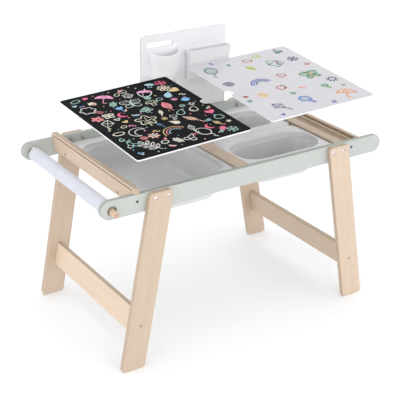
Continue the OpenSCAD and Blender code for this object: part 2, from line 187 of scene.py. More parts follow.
# the modifiers of a piece are applied, so that it is a plain mesh
def settle(piece):
    bpy.context.view_layer.update()
    solid = piece.evaluated_get(bpy.context.evaluated_depsgraph_get())
    mesh = bpy.data.meshes.new_from_object(solid)
    piece.modifiers.clear()
    piece.data = mesh
    mesh.name = piece.name
    return piece


# a Geometry Nodes tree is run on a piece, its inputs set by name
def dressWith(piece, tree, values):
    modifier = piece.modifiers.new(tree.name, "NODES")
    modifier.node_group = tree
    for item in tree.interface.items_tree:
        if item.in_out == "INPUT" and item.name in values:
            modifier[item.identifier] = values[item.name]
    return settle(piece)


def smooth(mesh, sharpAngle=35):
    mesh.shade_smooth()
    mesh.set_sharp_from_angle(angle=radians(sharpAngle))


# a finished piece takes over the CAD node that it stands for
def standFor(piece, node):
    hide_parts(node)
    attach(piece, cadNodes[node]["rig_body"])
    return piece


# a CAD node's mesh, merged, with its flat faces whole
def mergedMesh(node):
    work = bmesh.new()
    work.from_mesh(cadNodes[node].data)
    bmesh.ops.remove_doubles(work, verts=work.verts, dist=samePoint)
    bmesh.ops.dissolve_limit(
        work, angle_limit=radians(flatAngle), verts=work.verts, edges=work.edges)
    return work


# connected things, found by stepping from each to its neighbours
def linkedSets(things, neighbours):
    left = set(things)
    while left:
        found = [left.pop()]
        for thing in found:
            for other in neighbours(thing):
                if other in left:
                    left.discard(other)
                    found.append(other)
        yield found


# lowest and highest corners of the separate solids in a CAD node
def looseBoxes(node):
    work = mergedMesh(node)
    boxes = []
    for solid in linkedSets(work.verts, lambda v: [e.other_vert(v) for e in v.link_edges]):
        low = Vector(min(v.co[i] for v in solid) for i in range(3))
        high = Vector(max(v.co[i] for v in solid) for i in range(3))
        boxes.append((low, high))
    work.free()
    return sorted(boxes, key=lambda b: tuple(round(c, 5) for c in b[0]))


# rotary-cut veneer: X runs along the grain, in metres
def veneerInside(tree, given):
    place = given["Vector"]
    tone = noise(tree, mapped(tree, place, scale=(3.2, 16.0, 16.0)), 1.5,
                 detail=4.0, roughness=0.55, distortion=0.9)
    figure = add(tree, "ShaderNodeTexWave", {
        "Vector": mapped(tree, place, scale=(3.4, 17.0, 17.0)), "Scale": 0.6, "Distortion": 11.0,
        "Detail": 2.5, "Detail Scale": 0.8, "Detail Roughness": 0.6},
        wave_type="BANDS", bands_direction="Y")
    streaks = noise(tree, mapped(tree, place, scale=(9.0, 520.0, 520.0)), 1.0,
                    detail=3.0, roughness=0.7)
    flecks = noise(tree, mapped(tree, place, scale=(150.0, 1900.0, 1900.0)), 1.0,
                   detail=1.0, roughness=0.4)
    fleckMask = ranged(tree, flecks, 0.64, 0.76)
    soft = calc(tree, "MULTIPLY", figure.outputs["Fac"], given["Figure"])
    level = ranged(tree, calc(tree, "MULTIPLY_ADD", soft, 0.3, tone), 0.35, 1.0)
    return {"Tone": level, "Streaks": streaks, "Flecks": fleckMask,
            "Height": calc(tree, "MULTIPLY_ADD", fleckMask, -0.8, streaks)}


# the cut edge of plywood: Z runs through the board's thickness
def plyEdgeInside(tree, given):
    through = calc(tree, "ABSOLUTE", split(tree, given["Normal"])["Z"])
    bend = noise(tree, given["Vector"], 18.0, detail=1.0)
    bent = calc(tree, "MULTIPLY_ADD", bend, 0.0007, split(tree, given["Vector"])["Z"])
    count = calc(tree, "DIVIDE", bent, given["Ply"])
    spread = mapped(tree, given["Vector"], scale=(55.0, 55.0, 420.0))
    return {"Edge": ranged(tree, through, 0.45, 0.8, 1.0, 0.0),
            "Layer": ranged(tree, calc(tree, "PINGPONG", count, 2.0), 0.8, 1.2),
            "Glue": ranged(tree, calc(tree, "PINGPONG", count, 0.5), 0.02, 0.1, 1.0, 0.0),
            "Voids": ranged(tree, noise(tree, spread, 1.0, detail=2.0), 0.66, 0.74)}


# light handling marks: fine scratches, smudges and dust
def handledInside(tree, given):
    sized = add(tree, "ShaderNodeVectorMath", {
        0: given["Vector"], "Scale": given["Size"]}, operation="SCALE")
    long = mapped(tree, sized, rotation=(0.3, 0.2, 0.6), scale=(14.0, 700.0, 300.0))
    return {"Smudge": noise(tree, sized, 9.0, detail=4.0, roughness=0.6, distortion=0.4),
            "Scratch": ranged(tree, noise(tree, long, 1.0, detail=1.0), 0.68, 0.76),
            "Grit": noise(tree, sized, 1400.0, detail=2.0, roughness=0.7)}


veneerGroup = makeGroup("birchVeneer", "Shader", veneerInside, {
    "Vector": "Vector", "Figure": 1.0})
plyEdgeGroup = makeGroup("plyEdge", "Shader", plyEdgeInside, {
    "Vector": "Vector", "Normal": "Vector", "Ply": 0.0014})
handledGroup = makeGroup("handledSurface", "Shader", handledInside, {
    "Vector": "Vector", "Size": 1.0})


def bareMaterial(name):
    material = bpy.data.materials.new(name)
    material.use_nodes = True
    material.node_tree.nodes.clear()
    return material


def newMaterial(name):
    material = bareMaterial(name)
    tree = material.node_tree
    return material, tree, tree.nodes.new("ShaderNodeTexCoord").outputs


# places and normals turned so that X runs along the grain and Z through the board
def grainSpace(tree, where, turn, shift):
    angles = tuple(radians(a) for a in turn)
    return (mapped(tree, where["Object"], location=shift, rotation=angles),
            mapped(tree, where["Normal"], "NORMAL", rotation=angles))


# a material's shader, and a relief of so many metres from a height that varies
def surfaced(material, values, height=None, relief=0.0):
    tree = material.node_tree
    if relief:
        bump = add(tree, "ShaderNodeBump", {"Height": height, "Distance": relief})
        values = {**values, "Normal": bump}
    surface = add(tree, "ShaderNodeBsdfPrincipled", values)
    add(tree, "ShaderNodeOutputMaterial", {"Surface": surface})
    return material


def tinted(colour, factor):
    return tuple(c * factor for c in colour)


# a colour with others laid over it, each as far as its mask lets it
def layered(tree, colour, *layers):
    for mask, over in layers:
        colour = mixed(tree, mask, colour, over)
    return colour


# noise, which mostly runs from 0.3 to 0.7, spread between two values
def uneven(tree, value, toLow=0.0, toHigh=1.0):
    return ranged(tree, value, 0.3, 0.7, toLow, toHigh)


# a mask weakened to this share of its strength
def faint(tree, mask, most):
    return ranged(tree, mask, 0.0, 1.0, 0.0, most)


# how nearly a face looks along an axis, from 0 to 1
def along(tree, axis, facing):
    return calc(tree, "ABSOLUTE", split(tree, facing)[axis])


plyThickness = 0.00136  # of one layer of the plywood, in metres

woodLook = {
    "pale": (0.628, 0.500, 0.384),
    "deep": (0.596, 0.464, 0.348),
    "fleck": (0.36, 0.25, 0.17),
    "endPale": (0.57, 0.455, 0.345),
    "endGrain": (0.46, 0.350, 0.255),
    "glueLine": (0.30, 0.215, 0.15),
    "streaks": 0.22,
    "flecks": 0.22,
    "smudges": 0.12,
    "roughness": (0.44, 0.6),
    "coat": {"Coat Weight": 0.06, "Coat Roughness": 0.45},
    "relief": 0.00012,
}


# lacquered birch plywood, with its layers on the cut edges; its tint is partly the board's own tone
# and partly painted light and shade
def birchPly(name, turn, shift, toneAndLight):
    look = woodLook
    material, tree, where = newMaterial(name)
    place, facing = grainSpace(tree, where, turn, shift)
    veneer = useGroup(tree, veneerGroup, vector=place, figure=1.0)
    edge = useGroup(tree, plyEdgeGroup, vector=place, normal=facing, ply=plyThickness)
    smudge = useGroup(tree, handledGroup, vector=place, size=1.0)["Smudge"]
    cut = layered(tree, look["endPale"], (edge["Layer"], look["endGrain"]),
                  (edge["Glue"], look["glueLine"]), (edge["Voids"], look["glueLine"]))
    # painted light and shade: the tint makes each board's faces lighter or darker as it is lit
    colour = layered(
        tree, tinted(look["pale"], toneAndLight),
        (veneer["Tone"], tinted(look["deep"], toneAndLight)),
        (ranged(tree, veneer["Streaks"], 0.4, 0.7, 0.0, look["streaks"]), look["deep"]),
        (faint(tree, veneer["Flecks"], look["flecks"]), look["fleck"]),
        (edge["Edge"], cut),
        (ranged(tree, smudge, 0.35, 0.7, 0.0, look["smudges"]), look["deep"]))
    return surfaced(material, {
        "Base Color": colour, "Roughness": uneven(tree, smudge, *look["roughness"]),
        **look["coat"]}, veneer["Height"], look["relief"])


sageLook = {
    "face": (0.495, 0.525, 0.495),
    "deep": (0.468, 0.500, 0.466),
    "edge": (0.330, 0.355, 0.310),
    "rub": (0.52, 0.48, 0.41),
    "grain": 0.1,
    "rubbed": 0.25,
    "roughness": (0.36, 0.5),
    "coat": {"Coat Weight": 0.12, "Coat Roughness": 0.35},
    "relief": 0.00010,
}


# satin paint on plywood: rolled on the faces, thinner and darker on the cut edges
def sagePaint(name, turn, shift):
    look = sageLook
    material, tree, where = newMaterial(name)
    place, facing = grainSpace(tree, where, turn, shift)
    edge = useGroup(tree, plyEdgeGroup, vector=place, normal=facing, ply=plyThickness)
    smudge = useGroup(tree, handledGroup, vector=place, size=1.0)["Smudge"]
    veneer = useGroup(tree, veneerGroup, vector=place, figure=0.4)
    roller = noise(tree, place, 480.0, detail=2.0, roughness=0.5)
    layers = ranged(tree, edge["Layer"], 0.0, 1.0, 0.75, 1.0)
    voids = calc(tree, "MULTIPLY", edge["Voids"], edge["Edge"])
    colour = layered(
        tree, look["face"],
        (uneven(tree, smudge, 0.0, 0.5), look["deep"]),
        (ranged(tree, veneer["Streaks"], 0.35, 0.7, 0.0, look["grain"]), look["deep"]),
        (calc(tree, "MULTIPLY", layers, edge["Edge"]), look["edge"]),
        (faint(tree, voids, look["rubbed"]), look["rub"]))
    height = calc(tree, "MULTIPLY_ADD", veneer["Height"], 0.35, roller)
    return surfaced(material, {
        "Base Color": colour, "Roughness": uneven(tree, smudge, *look["roughness"]),
        **look["coat"]}, height, look["relief"])


roundWoodLook = {
    "turn": (0, 0, 90),
    "shift": (0.3, 0.2, 0.0),
    "pale": (0.68, 0.53, 0.385),
    "deep": (0.56, 0.40, 0.275),
    "fleck": (0.32, 0.20, 0.13),
    "flecks": 0.5,
    "endPale": (0.58, 0.42, 0.33),
    "endPores": (0.36, 0.24, 0.175),
    "roughness": 0.6,
    "relief": 0.00015,
}


# turned wood with its grain along Y
def turnedWood():
    look = roundWoodLook
    material, tree, where = newMaterial("turnedBeech")
    place, facing = grainSpace(tree, where, look["turn"], look["shift"])
    veneer = useGroup(tree, veneerGroup, vector=place, figure=0.7)
    pores = add(tree, "ShaderNodeTexVoronoi", {"Vector": place, "Scale": 2600.0})
    poreShade = ranged(tree, pores.outputs["Distance"], 0.1, 0.5, 0.7, 0.25)
    colour = layered(
        tree, look["pale"], (veneer["Tone"], look["deep"]),
        (faint(tree, veneer["Flecks"], look["flecks"]), look["fleck"]),
        (ranged(tree, along(tree, "X", facing), 0.7, 0.95),
         mixed(tree, poreShade, look["endPale"], look["endPores"])))
    return surfaced(material, {"Base Color": colour, "Roughness": look["roughness"]},
                    veneer["Height"], look["relief"])


# injection-moulded plastic; a last value under 1 darkens the cut edges of an upright sheet as
# painted shade, so that its outline shows
def mouldedPlastic(name, colour, shade, roughness, coat, skinScale, skinDepth, rim=None):
    material, tree, where = newMaterial(name)
    place, wear = where["Object"], plasticWear
    handled = useGroup(tree, handledGroup, vector=place, size=1.0)
    colour = mixed(tree, uneven(tree, handled["Smudge"]), colour, shade)
    # painted shade: faces that look sideways are darkened, standing in for the shade on the sheet's
    # edges
    if rim:
        onShadedEdge = ranged(tree, along(tree, "Y", where["Normal"]), 0.6, 0.9, 1.0, 0.0)
        colour = mixed(tree, onShadedEdge, colour, tinted(shade, rim))
    marked = faint(tree, handled["Scratch"], wear["scratches"])
    colour = mixed(tree, marked, colour, tinted(shade, wear["scratchShade"]))
    smudged = wear["smudgeRoughness"]
    rough = calc(tree, "MULTIPLY_ADD", handled["Smudge"], smudged, roughness - smudged / 2)
    rough = calc(tree, "MULTIPLY_ADD", handled["Scratch"], wear["scratchRoughness"], rough)
    skin = noise(tree, place, skinScale, detail=3.0, roughness=0.55)
    return surfaced(material, {
        "Base Color": colour, "Roughness": rough, "Coat Weight": coat, **plasticBody},
        skin, skinDepth)


chalkLook = {
    "slate": (0.0070, 0.0074, 0.0084),
    "dust": (0.024, 0.025, 0.028),
    "dusting": 0.42,
    "grain": 1500.0,
    "gloss": {"Specular IOR Level": 0.03},
    "relief": 0.00005,
}


# a blackboard, wiped in broad strokes that leave a little dust
def blackboardPaint():
    look = chalkLook
    material, tree, where = newMaterial("blackboardPaint")
    place = where["Object"]
    wiped = mapped(tree, place, rotation=(0, 0, 0.5), scale=(7.0, 26.0, 7.0))
    haze = noise(tree, wiped, 1.0, detail=6.0, roughness=0.62, distortion=0.8)
    grit = noise(tree, place, look["grain"], detail=2.0, roughness=0.7)
    thick = ranged(tree, haze, 0.48, 0.8, 0.0, look["dusting"])
    dust = calc(tree, "MULTIPLY", thick, ranged(tree, grit, 0.4, 0.65, 0.3, 1.0))
    return surfaced(material, {
        "Base Color": mixed(tree, dust, look["slate"], look["dust"]),
        "Roughness": ranged(tree, haze, 0.3, 0.8, 0.52, 0.78),
        **look["gloss"]}, grit, look["relief"])


strokeRelief = 0.00006  # in metres


# strokes keep their own colour in the "ink" attribute, and the board shows through their gaps
def drawnLine(name, roughness, cover, under):
    material, tree, where = newMaterial(name)
    place = where["Object"]
    ink = add(tree, "ShaderNodeAttribute", attribute_name="ink")
    grit = noise(tree, place, chalkLook["grain"] * 0.6, detail=3.0, roughness=0.75)
    both = calc(tree, "ADD", grit, noise(tree, place, 160.0, detail=2.0))
    gap = ranged(tree, both, 0.75, 1.12, 1.0 - cover, 0.0)
    colour = mixed(tree, gap, ink, under)
    return surfaced(material, {"Base Color": colour, "Roughness": roughness}, grit, strokeRelief)


# turn is the width in metres of one turn of the paper on the roll's ends
paperLook = {
    "face": (0.610, 0.620, 0.690),
    "shade": (0.580, 0.590, 0.660),
    "end": (0.72, 0.71, 0.76),
    "endLines": (0.38, 0.37, 0.40),
    "turn": 0.0007,
    "finish": {"Roughness": 0.72, "Sheen Weight": 0.1, "Sheen Roughness": 0.6},
    "relief": 0.00006,
}


# drawing paper, with the edges of its turns on the roll's ends
def drawingPaper():
    look = paperLook
    material, tree, where = newMaterial("drawingPaper")
    place = where["Object"]
    low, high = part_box("paper_roll")
    middle = (low + high) / 2
    fibre = noise(tree, place, 620.0, detail=4.0, roughness=0.65)
    ripple = noise(tree, mapped(tree, place, scale=(1.0, 6.0, 1.0)), 6.0, detail=2.0)
    centred = mapped(tree, place, location=(-middle.x, 0, -middle.z), scale=(1, 0, 1))
    radius = add(tree, "ShaderNodeVectorMath", {0: centred}, operation="LENGTH")
    turns = calc(tree, "MULTIPLY", radius.outputs["Value"], 1 / look["turn"])
    line = ranged(tree, calc(tree, "PINGPONG", turns, 0.5), 0.0, 0.5, 0.7, 0.0)
    colour = layered(
        tree, look["face"], (uneven(tree, ripple), look["shade"]),
        (ranged(tree, along(tree, "Y", where["Normal"]), 0.6, 0.9),
         mixed(tree, line, look["end"], look["endLines"])))
    height = calc(tree, "MULTIPLY_ADD", ripple, 6.0, fibre)
    return surfaced(material, {"Base Color": colour, **look["finish"]}, height, look["relief"])


cardLook = {
    "pale": (0.50, 0.37, 0.25),
    "deep": (0.33, 0.23, 0.15),
    "roughness": 0.85,
    "relief": 0.0001,
}


def brownCard():
    look = cardLook
    material, tree, where = newMaterial("brownCard")
    fibre = noise(tree, where["Object"], 700.0, detail=5.0, roughness=0.7)
    colour = mixed(tree, fibre, look["pale"], look["deep"])
    return surfaced(material, {"Base Color": colour, "Roughness": look["roughness"]},
                    fibre, look["relief"])


steelWear = {
    "roughness": (0.24, 0.42),
    "grit": 8.0,
    "relief": 0.00003,
}


# plated steel, a little tarnished
def platedSteel(name, bright, dull):
    wear = steelWear
    material, tree, where = newMaterial(name)
    handled = useGroup(tree, handledGroup, vector=where["Object"], size=wear["grit"])
    smudge = handled["Smudge"]
    return surfaced(material, {
        "Base Color": mixed(tree, ranged(tree, smudge, 0.35, 0.65), bright, dull),
        "Roughness": uneven(tree, smudge, *wear["roughness"]),
        "Metallic": 1.0}, handled["Grit"], wear["relief"])


# what every plastic has: its body, and how strongly its wear shows
plasticBody = {
    "Coat Roughness": 0.12,
    "Subsurface Weight": 0.06,
    "Subsurface Radius": (0.004, 0.004, 0.004),
    "IOR": 1.49,
}
plasticWear = {
    "scratches": 0.12,
    "scratchShade": 0.8,
    "scratchRoughness": 0.15,
    "smudgeRoughness": 0.16,
}

# each plastic: colour, shade, roughness, coat, scale and depth of its skin, and any painted shade
# on its cut edges
plasticLook = {
    "binPlastic": ((0.69, 0.69, 0.695), (0.66, 0.66, 0.67), 0.30, 0.35, 260.0, 0.00006),
    "organiserPlastic": ((0.84, 0.84, 0.86), (0.82, 0.82, 0.845), 0.48, 0.05, 900.0, 0.00006),
    # the panel's last value darkens its cut edges as painted shade
    "panelPlastic": ((0.86, 0.86, 0.88), (0.84, 0.84, 0.865), 0.48, 0.05, 900.0, 0.00006, 0.5),
    "lidBoardWhite": ((0.84, 0.84, 0.85), (0.80, 0.80, 0.82), 0.40, 0.10, 600.0, 0.00006),
    # the whiteboard's white face is set to a grey, as painted shade on its upward face
    "whiteboardGlossShaded": ((0.535, 0.525, 0.56), (0.51, 0.50, 0.54), 0.20, 0.4, 260.0, 0.00002),
}

# each steel: where it is bright and where it is dull
steelLook = {
    "zincSteel": ((0.42, 0.375, 0.355), (0.29, 0.255, 0.24)),
    "nutSteel": ((0.58, 0.55, 0.49), (0.44, 0.41, 0.36)),
    "boltSteel": ((0.80, 0.70, 0.66), (0.62, 0.52, 0.48)),
    "bronzedSteel": ((0.34, 0.23, 0.17), (0.22, 0.15, 0.11)),
    "blackenedSteel": ((0.17, 0.155, 0.145), (0.10, 0.09, 0.085)),
}

plastics = {name: mouldedPlastic(name, *look) for name, look in plasticLook.items()}
steels = {name: platedSteel(name, *look) for name, look in steelLook.items()}
beech = turnedWood()
print("materials made:", len(bpy.data.materials))


# the lean of a board, in degrees: its box is as wide as its slope and its thickness make it
def leanOfBoard(low, high, thickness):
    wide, tall = high.x - low.x, high.z - low.z
    lean = radians(10)  # a first guess, which each round brings nearer
    for _ in range(20):
        lean = asin((wide - thickness * cos(lean)) * cos(lean) / (
            tall - thickness * sin(lean)))
    return degrees(lean)


# the legs lean as the right stretcher does, which is as thick as they are
legLow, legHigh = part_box("front_right_leg")
legLean = leanOfBoard(*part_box("right_stretcher"), legHigh.y - legLow.y)

# turns that lay a board's grain along X and its thickness along Z
woodTurns = {
    "alongX": (90, 0, 0),
    "alongY": (0, 0, 90),
    "alongYEdgeways": (0, 90, 90),
    "leanRight": (90, 0, 90 - legLean),
    "leanLeft": (90, 0, 90 + legLean),
    "leftStretcher": (0, 90 - legLean, 90),
    "rightStretcher": (0, 90 + legLean, 90),
}

# each board: its grain, a shift that gives it its own figure, its tint, which is partly its own
# tone and partly painted light and shade as the light falls on it, and the round of its edges in mm
boardLook = {
    "front_left_leg": ("leanRight", (0.0, 0.3, 0.1), 0.94, 1.2),
    "front_right_leg": ("leanLeft", (1.7, 0.9, 0.2), 1.07, 1.2),
    "rear_left_leg": ("leanRight", (2.9, 1.6, 0.3), 1.0, 1.2),
    "rear_right_leg": ("leanLeft", (4.1, 2.2, 0.4), 0.93, 1.2),
    "left_stretcher": ("leftStretcher", (5.3, 2.9, 0.5), 1.18, 0.8),
    "right_stretcher": ("rightStretcher", (6.1, 3.3, 0.6), 0.9, 0.8),
    "left_cross_board": ("alongYEdgeways", (7.2, 3.8, 0.7), 1.1, 1.2),
    "left_ledge": ("alongY", (8.3, 4.1, 0.8), 1.0, 0.6),
    "middle_bar": ("alongY", (9.4, 4.6, 0.9), 1.0, 0.6),
    "tray_board": ("alongY", (10.5, 5.2, 1.0), 0.92, 0.8),
}

# each rail: its paint, the shift of the grain under it, and the round of its edges in mm
railLook = {
    "front_rail": ("frontRailPaint", (0.0, 0.0, 0.0), 1.5),
    "rear_rail": ("rearRailPaint", (2.0, 1.0, 0.5), 1.5),
}

# an edge is rounded where its faces turn by so many degrees, in an outline of this size in mm
edgeLook = {
    "sharpAngle": 28,
    "outlineSize": 18.0,
    "segments": 3,
}


def markOutlines(work):
    weights = work.edges.layers.float.new("bevel_weight_edge")
    sharpAngle = radians(edgeLook["sharpAngle"])
    sharp = [e for e in work.edges
             if len(e.link_faces) == 2 and e.calc_face_angle(0) > sharpAngle]
    for chain in linkedSets(sharp, lambda e: [o for v in e.verts for o in v.link_edges]):
        ends = [v.co for e in chain for v in e.verts]
        size = max(max(c[i] for c in ends) - min(c[i] for c in ends) for i in range(3))
        if size > edgeLook["outlineSize"] * mm:
            for edge in chain:
                edge[weights] = 1.0


# a CAD node's own shape with its outline's edges rounded over
def softBoard(node, material, edge):
    work = mergedMesh(node)
    markOutlines(work)
    mesh = meshOf(work, node + "_shape")
    smooth(mesh)
    piece = newObject(node + "_shape", mesh, material)
    rounded = piece.modifiers.new("roundedEdges", "BEVEL")
    rounded.width = edge * mm
    rounded.segments = edgeLook["segments"]
    rounded.limit_method = "WEIGHT"
    rounded.use_clamp_overlap = False
    rounded.miter_outer = "MITER_ARC"
    piece.modifiers.new("faceNormals", "WEIGHTED_NORMAL").keep_sharp = True
    return standFor(settle(piece), node)


for node, (way, shift, toneAndLight, edge) in boardLook.items():
    softBoard(node, birchPly(node + "Birch", woodTurns[way], shift, toneAndLight), edge)
for node, (paint, shift, edge) in railLook.items():
    softBoard(node, sagePaint(paint, woodTurns["alongX"], shift), edge)
print("boards rounded over")

# steps in a round corner, and in a fillet between two walls
cornerSteps = 10
filletSteps = 4


# a ring of points round a rectangle with round corners, anticlockwise seen from above
def rectangleRing(middle, halfX, halfY, radius, z):
    points = []
    for signX, signY, start in ((1, 1, 0), (-1, 1, 90), (-1, -1, 180), (1, -1, 270)):
        for i in range(cornerSteps + 1):
            angle = radians(start + 90 * i / cornerSteps)
            points.append(Vector((
                middle.x + signX * (halfX - radius) + radius * cos(angle),
                middle.y + signY * (halfY - radius) + radius * sin(angle),
                middle.z + z)))
    return points


# a chain of number lists with a fillet at each corner: the last number of each is its size
def filleted(chain):
    smoothed = [chain[0][:-1]]
    for before, corner, after in zip(chain, chain[1:], chain[2:]):
        size = corner[-1]
        here = Vector(corner[:-1])
        back, ahead = Vector(before[:-1]) - here, Vector(after[:-1]) - here
        start = here + back * min(0.5, size / back.length)
        end = here + ahead * min(0.5, size / ahead.length)
        for i in range(filletSteps + 1):
            t = i / filletSteps
            smoothed.append(tuple(start * (1 - t) ** 2 + here * 2 * t * (1 - t) + end * t ** 2))
    smoothed.append(chain[-1][:-1])
    return smoothed


# a closed skin over rings of equal counts; without caps the last ring joins the first
def loftMesh(name, rings, capped=True):
    work = bmesh.new()
    rows = [[work.verts.new(p) for p in ring] for ring in rings]
    pairs = list(zip(rows, rows[1:]))
    if not capped:
        pairs.append((rows[-1], rows[0]))
    for low, high in pairs:
        for i in range(len(low)):
            j = (i + 1) % len(low)
            work.faces.new((low[i], low[j], high[j], high[i]))
    if capped:
        work.faces.new(list(reversed(rows[0])))
        work.faces.new(rows[-1])
    bmesh.ops.remove_doubles(work, verts=work.verts, dist=samePoint)
    bmesh.ops.recalc_face_normals(work, faces=work.faces)
    mesh = meshOf(work, name)
    smooth(mesh)
    return mesh


# sizes in mm, but for footRound, a share of the mouth's round
binLook = {
    "flangeRound": 26.0,
    "lip": 2.5,
    "web": 2.5,
    "skirt": 5.0,
    "wall": 2.5,
    "rimX": 12.0,
    "draft": 2.0,
    "shoulderDrop": 13.0,
    "shoulderStep": 3.0,
    "footInsetX": 27.0,
    "footInsetY": 2.0,
    "footRound": 0.8,
    "floorFillet": 15.0,
    "mouthFillet": 4.0,
    "floorLeft": 45.0,
    "floorRound": 4.0,
}

# each bin: width of the flange at its two ends and the round of its mouth, in mm
binMouths = {
    "left_bin": (32.0, 50.0),
    "near_right_bin": (40.0, 58.0),
    "far_right_bin": (40.0, 58.0),
}


# a hanging bin, from the middle of its foot up round the flange and down to its floor
def makeBin(node, rimY, mouthRound):
    look = binLook
    low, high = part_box(node)
    middle = (low + high) / 2
    middle.z = high.z
    flangeX, flangeY = (high.x - low.x) / mm / 2, (high.y - low.y) / mm / 2
    depth = (high.z - low.z) / mm
    wall, lip, flangeRound = look["wall"], look["lip"], look["flangeRound"]
    mouthX, mouthY = flangeX - look["rimX"], flangeY - rimY
    shoulderX, shoulderY = mouthX - look["draft"], mouthY - look["draft"]
    basinX, basinY = shoulderX - look["shoulderStep"], shoulderY - look["shoulderStep"]
    footX, footY = basinX - look["footInsetX"], basinY - look["footInsetY"]
    footRound = mouthRound * look["footRound"]
    floorX, floorY = footX - look["floorLeft"], footY - look["floorLeft"]
    inside = -look["shoulderDrop"]
    outside = inside - wall
    # half width, half depth, round of the corners, height and fillet of each ring
    chain = [
        (floorX, floorY, look["floorRound"], -depth, 0),
        (footX + wall, footY + wall, footRound + wall, -depth, look["floorFillet"] + wall),
        (basinX + wall, basinY + wall, mouthRound + wall, outside, 3.0),
        (shoulderX + wall, shoulderY + wall, mouthRound + wall, outside, 1.5),
        (mouthX + wall, mouthY + wall, mouthRound + wall, -look["web"], 2.0),
        (flangeX - lip, flangeY - lip, flangeRound - lip, -look["web"], 0.8),
        (flangeX - lip, flangeY - lip, flangeRound - lip, -look["skirt"], 0.5),
        (flangeX, flangeY, flangeRound, -look["skirt"], 0.5),
        (flangeX, flangeY, flangeRound, 0.0, 1.8),
        (mouthX, mouthY, mouthRound, 0.0, look["mouthFillet"]),
        (shoulderX, shoulderY, mouthRound, inside, 2.5),
        (basinX, basinY, mouthRound, inside, 3.0),
        (footX, footY, footRound, wall - depth, look["floorFillet"]),
        (floorX, floorY, look["floorRound"], wall - depth, 0),
    ]
    rings = [rectangleRing(middle, *(v * mm for v in row)) for row in filleted(chain)]
    piece = newObject(node + "_shell", loftMesh(node + "_shell", rings), plastics["binPlastic"])
    return standFor(piece, node)


for node, (rimY, mouthRound) in binMouths.items():
    makeBin(node, rimY, mouthRound)
print("bins lofted")

# sizes in mm, and levels as shares of the height; the foot and the floor are rows of level
# and inset, and the rim is a row of drops and insets
cupLook = {
    "wall": 2.5,
    "taper": 11.5,
    "rimFall": 18.0,
    "foot": ((0.0, 1.6), (0.0, 0.5), (0.006, 0.0)),
    "levels": (0.25, 0.5, 0.75),
    "rim": ((0.7, 0.0), (0.21, 0.2), (0.0, 0.7)),
    "floor": ((0.03, 0.0), (0.008, 1.0), (0.0, 4.0)),
    "arcSteps": 40,
}


# the round pocket: half an oval against the panel, its rim falling to the front
def makeCup():
    look = cupLook
    low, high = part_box("organiser_cup")
    halfWide, deep = (high.x - low.x) / 2, high.y - low.y
    tall = high.z - low.z
    wall, taper = look["wall"] * mm, look["taper"] * mm
    fall = look["rimFall"] * mm / deep
    middleX = (low.x + high.x) / 2

    # a ring's level is 0 at the foot and 1 at the rim, which is slanted
    def ring(level, inset, slanted):
        points = []
        for i in range(look["arcSteps"] + 1):
            angle = pi + pi * i / look["arcSteps"]
            across, out = cos(angle), -sin(angle)
            footOut = (deep - taper - 2 * inset) * out
            rimOut = (deep - 2 * inset) * out
            t = level
            if slanted:
                t *= (tall - fall * (footOut + inset)) / (tall + fall * (rimOut - footOut))
            wide = halfWide - taper * (1 - t) - inset
            points.append(Vector((
                middleX + wide * across,
                high.y - inset - footOut - (rimOut - footOut) * t,
                low.z + tall * t)))
        return points

    rim = [(1 - drop * mm / tall, inset * mm) for drop, inset in look["rim"]]
    rings = [ring(level, inset * mm, False) for level, inset in look["foot"]]
    rings += [ring(level, 0.0, True) for level in look["levels"]]
    rings += [ring(level, inset, True) for level, inset in rim]
    rings += [ring(level, wall - inset, True) for level, inset in reversed(rim)]
    rings += [ring(level, wall, True) for level in reversed(look["levels"])]
    rings += [ring(wall / tall + rise, wall + inset * mm, False) for rise, inset in look["floor"]]
    mesh = loftMesh("organiser_cup_shell", rings)
    return standFor(newObject(mesh.name, mesh, plastics["organiserPlastic"]), "organiser_cup")


makeCup()
softBoard("organiser_panel", plastics["panelPlastic"], 0.8)
softBoard("organiser_box", plastics["organiserPlastic"], 0.8)
for node in ("chalk_lid_board", "white_lid_board"):
    softBoard(node, plastics["lidBoardWhite"], 0.5)
softBoard("chalk_lid_face", blackboardPaint(), 0.2)
softBoard("white_lid_face", plastics["whiteboardGlossShaded"], 0.2)
print("organiser and lids made")

# sizes in mm and angles in degrees; around and along are counts of steps
rollLook = {
    "turnStep": 0.32,
    "looseEnd": 200.0,
    "flapLift": 0.5,
    "flapCurl": 0.45,
    "flapSpan": 34.0,
    "wander": 0.0525,
    "edge": 0.4,
    "around": 120,
    "along": 42,
}


# the paper, wound once too often at its loose end, with an edge that stands off a little
def makePaperRoll():
    look = rollLook
    low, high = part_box("paper_roll")
    middle = (low + high) / 2
    coreLow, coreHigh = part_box("roll_core")
    boreRadius = (coreHigh.x - coreLow.x) / 2
    startRadius = (high.x - low.x) / 2 - (look["turnStep"] + look["flapLift"]) * mm
    rows = look["along"]
    wobble = random.Random(11)
    drift = [wobble.uniform(-1, 1) * look["wander"] * mm for _ in range(rows + 1)]

    def ring(y, radiusAt):
        points = []
        for i in range(look["around"]):
            turn = i / look["around"]
            angle = radians(look["looseEnd"]) + 2 * pi * turn
            radius = radiusAt(turn)
            points.append(Vector((
                middle.x + radius * cos(angle), y, middle.z - radius * sin(angle))))
        return points

    def bore(y):
        return ring(y, lambda turn: boreRadius)

    def sheet(y, row):
        def radiusAt(turn):
            lifted = max(0.0, 1 - (1 - turn) * 360 / look["flapSpan"])
            stands = look["turnStep"] * turn + look["flapCurl"] * lifted ** 2
            return startRadius + stands * mm + drift[row]
        return ring(y, radiusAt)

    edge = look["edge"] * mm
    rings = [bore(low.y + edge), sheet(low.y + edge, 0)]
    rings += [sheet(low.y + (high.y - low.y) * i / rows, i) for i in range(rows + 1)]
    rings += [sheet(high.y - edge, rows), bore(high.y - edge)]
    mesh = loftMesh("paper_roll_sheet", rings, False)
    return standFor(newObject(mesh.name, mesh, drawingPaper()), "paper_roll")


makePaperRoll()
softBoard("roll_core", brownCard(), 0.3)
softBoard("roll_dowel", beech, 0.5)
print("paper roll wound")

# a slot's two measures as shares of its head's radius
slotShares = {"length": 1.05, "width": 0.24}


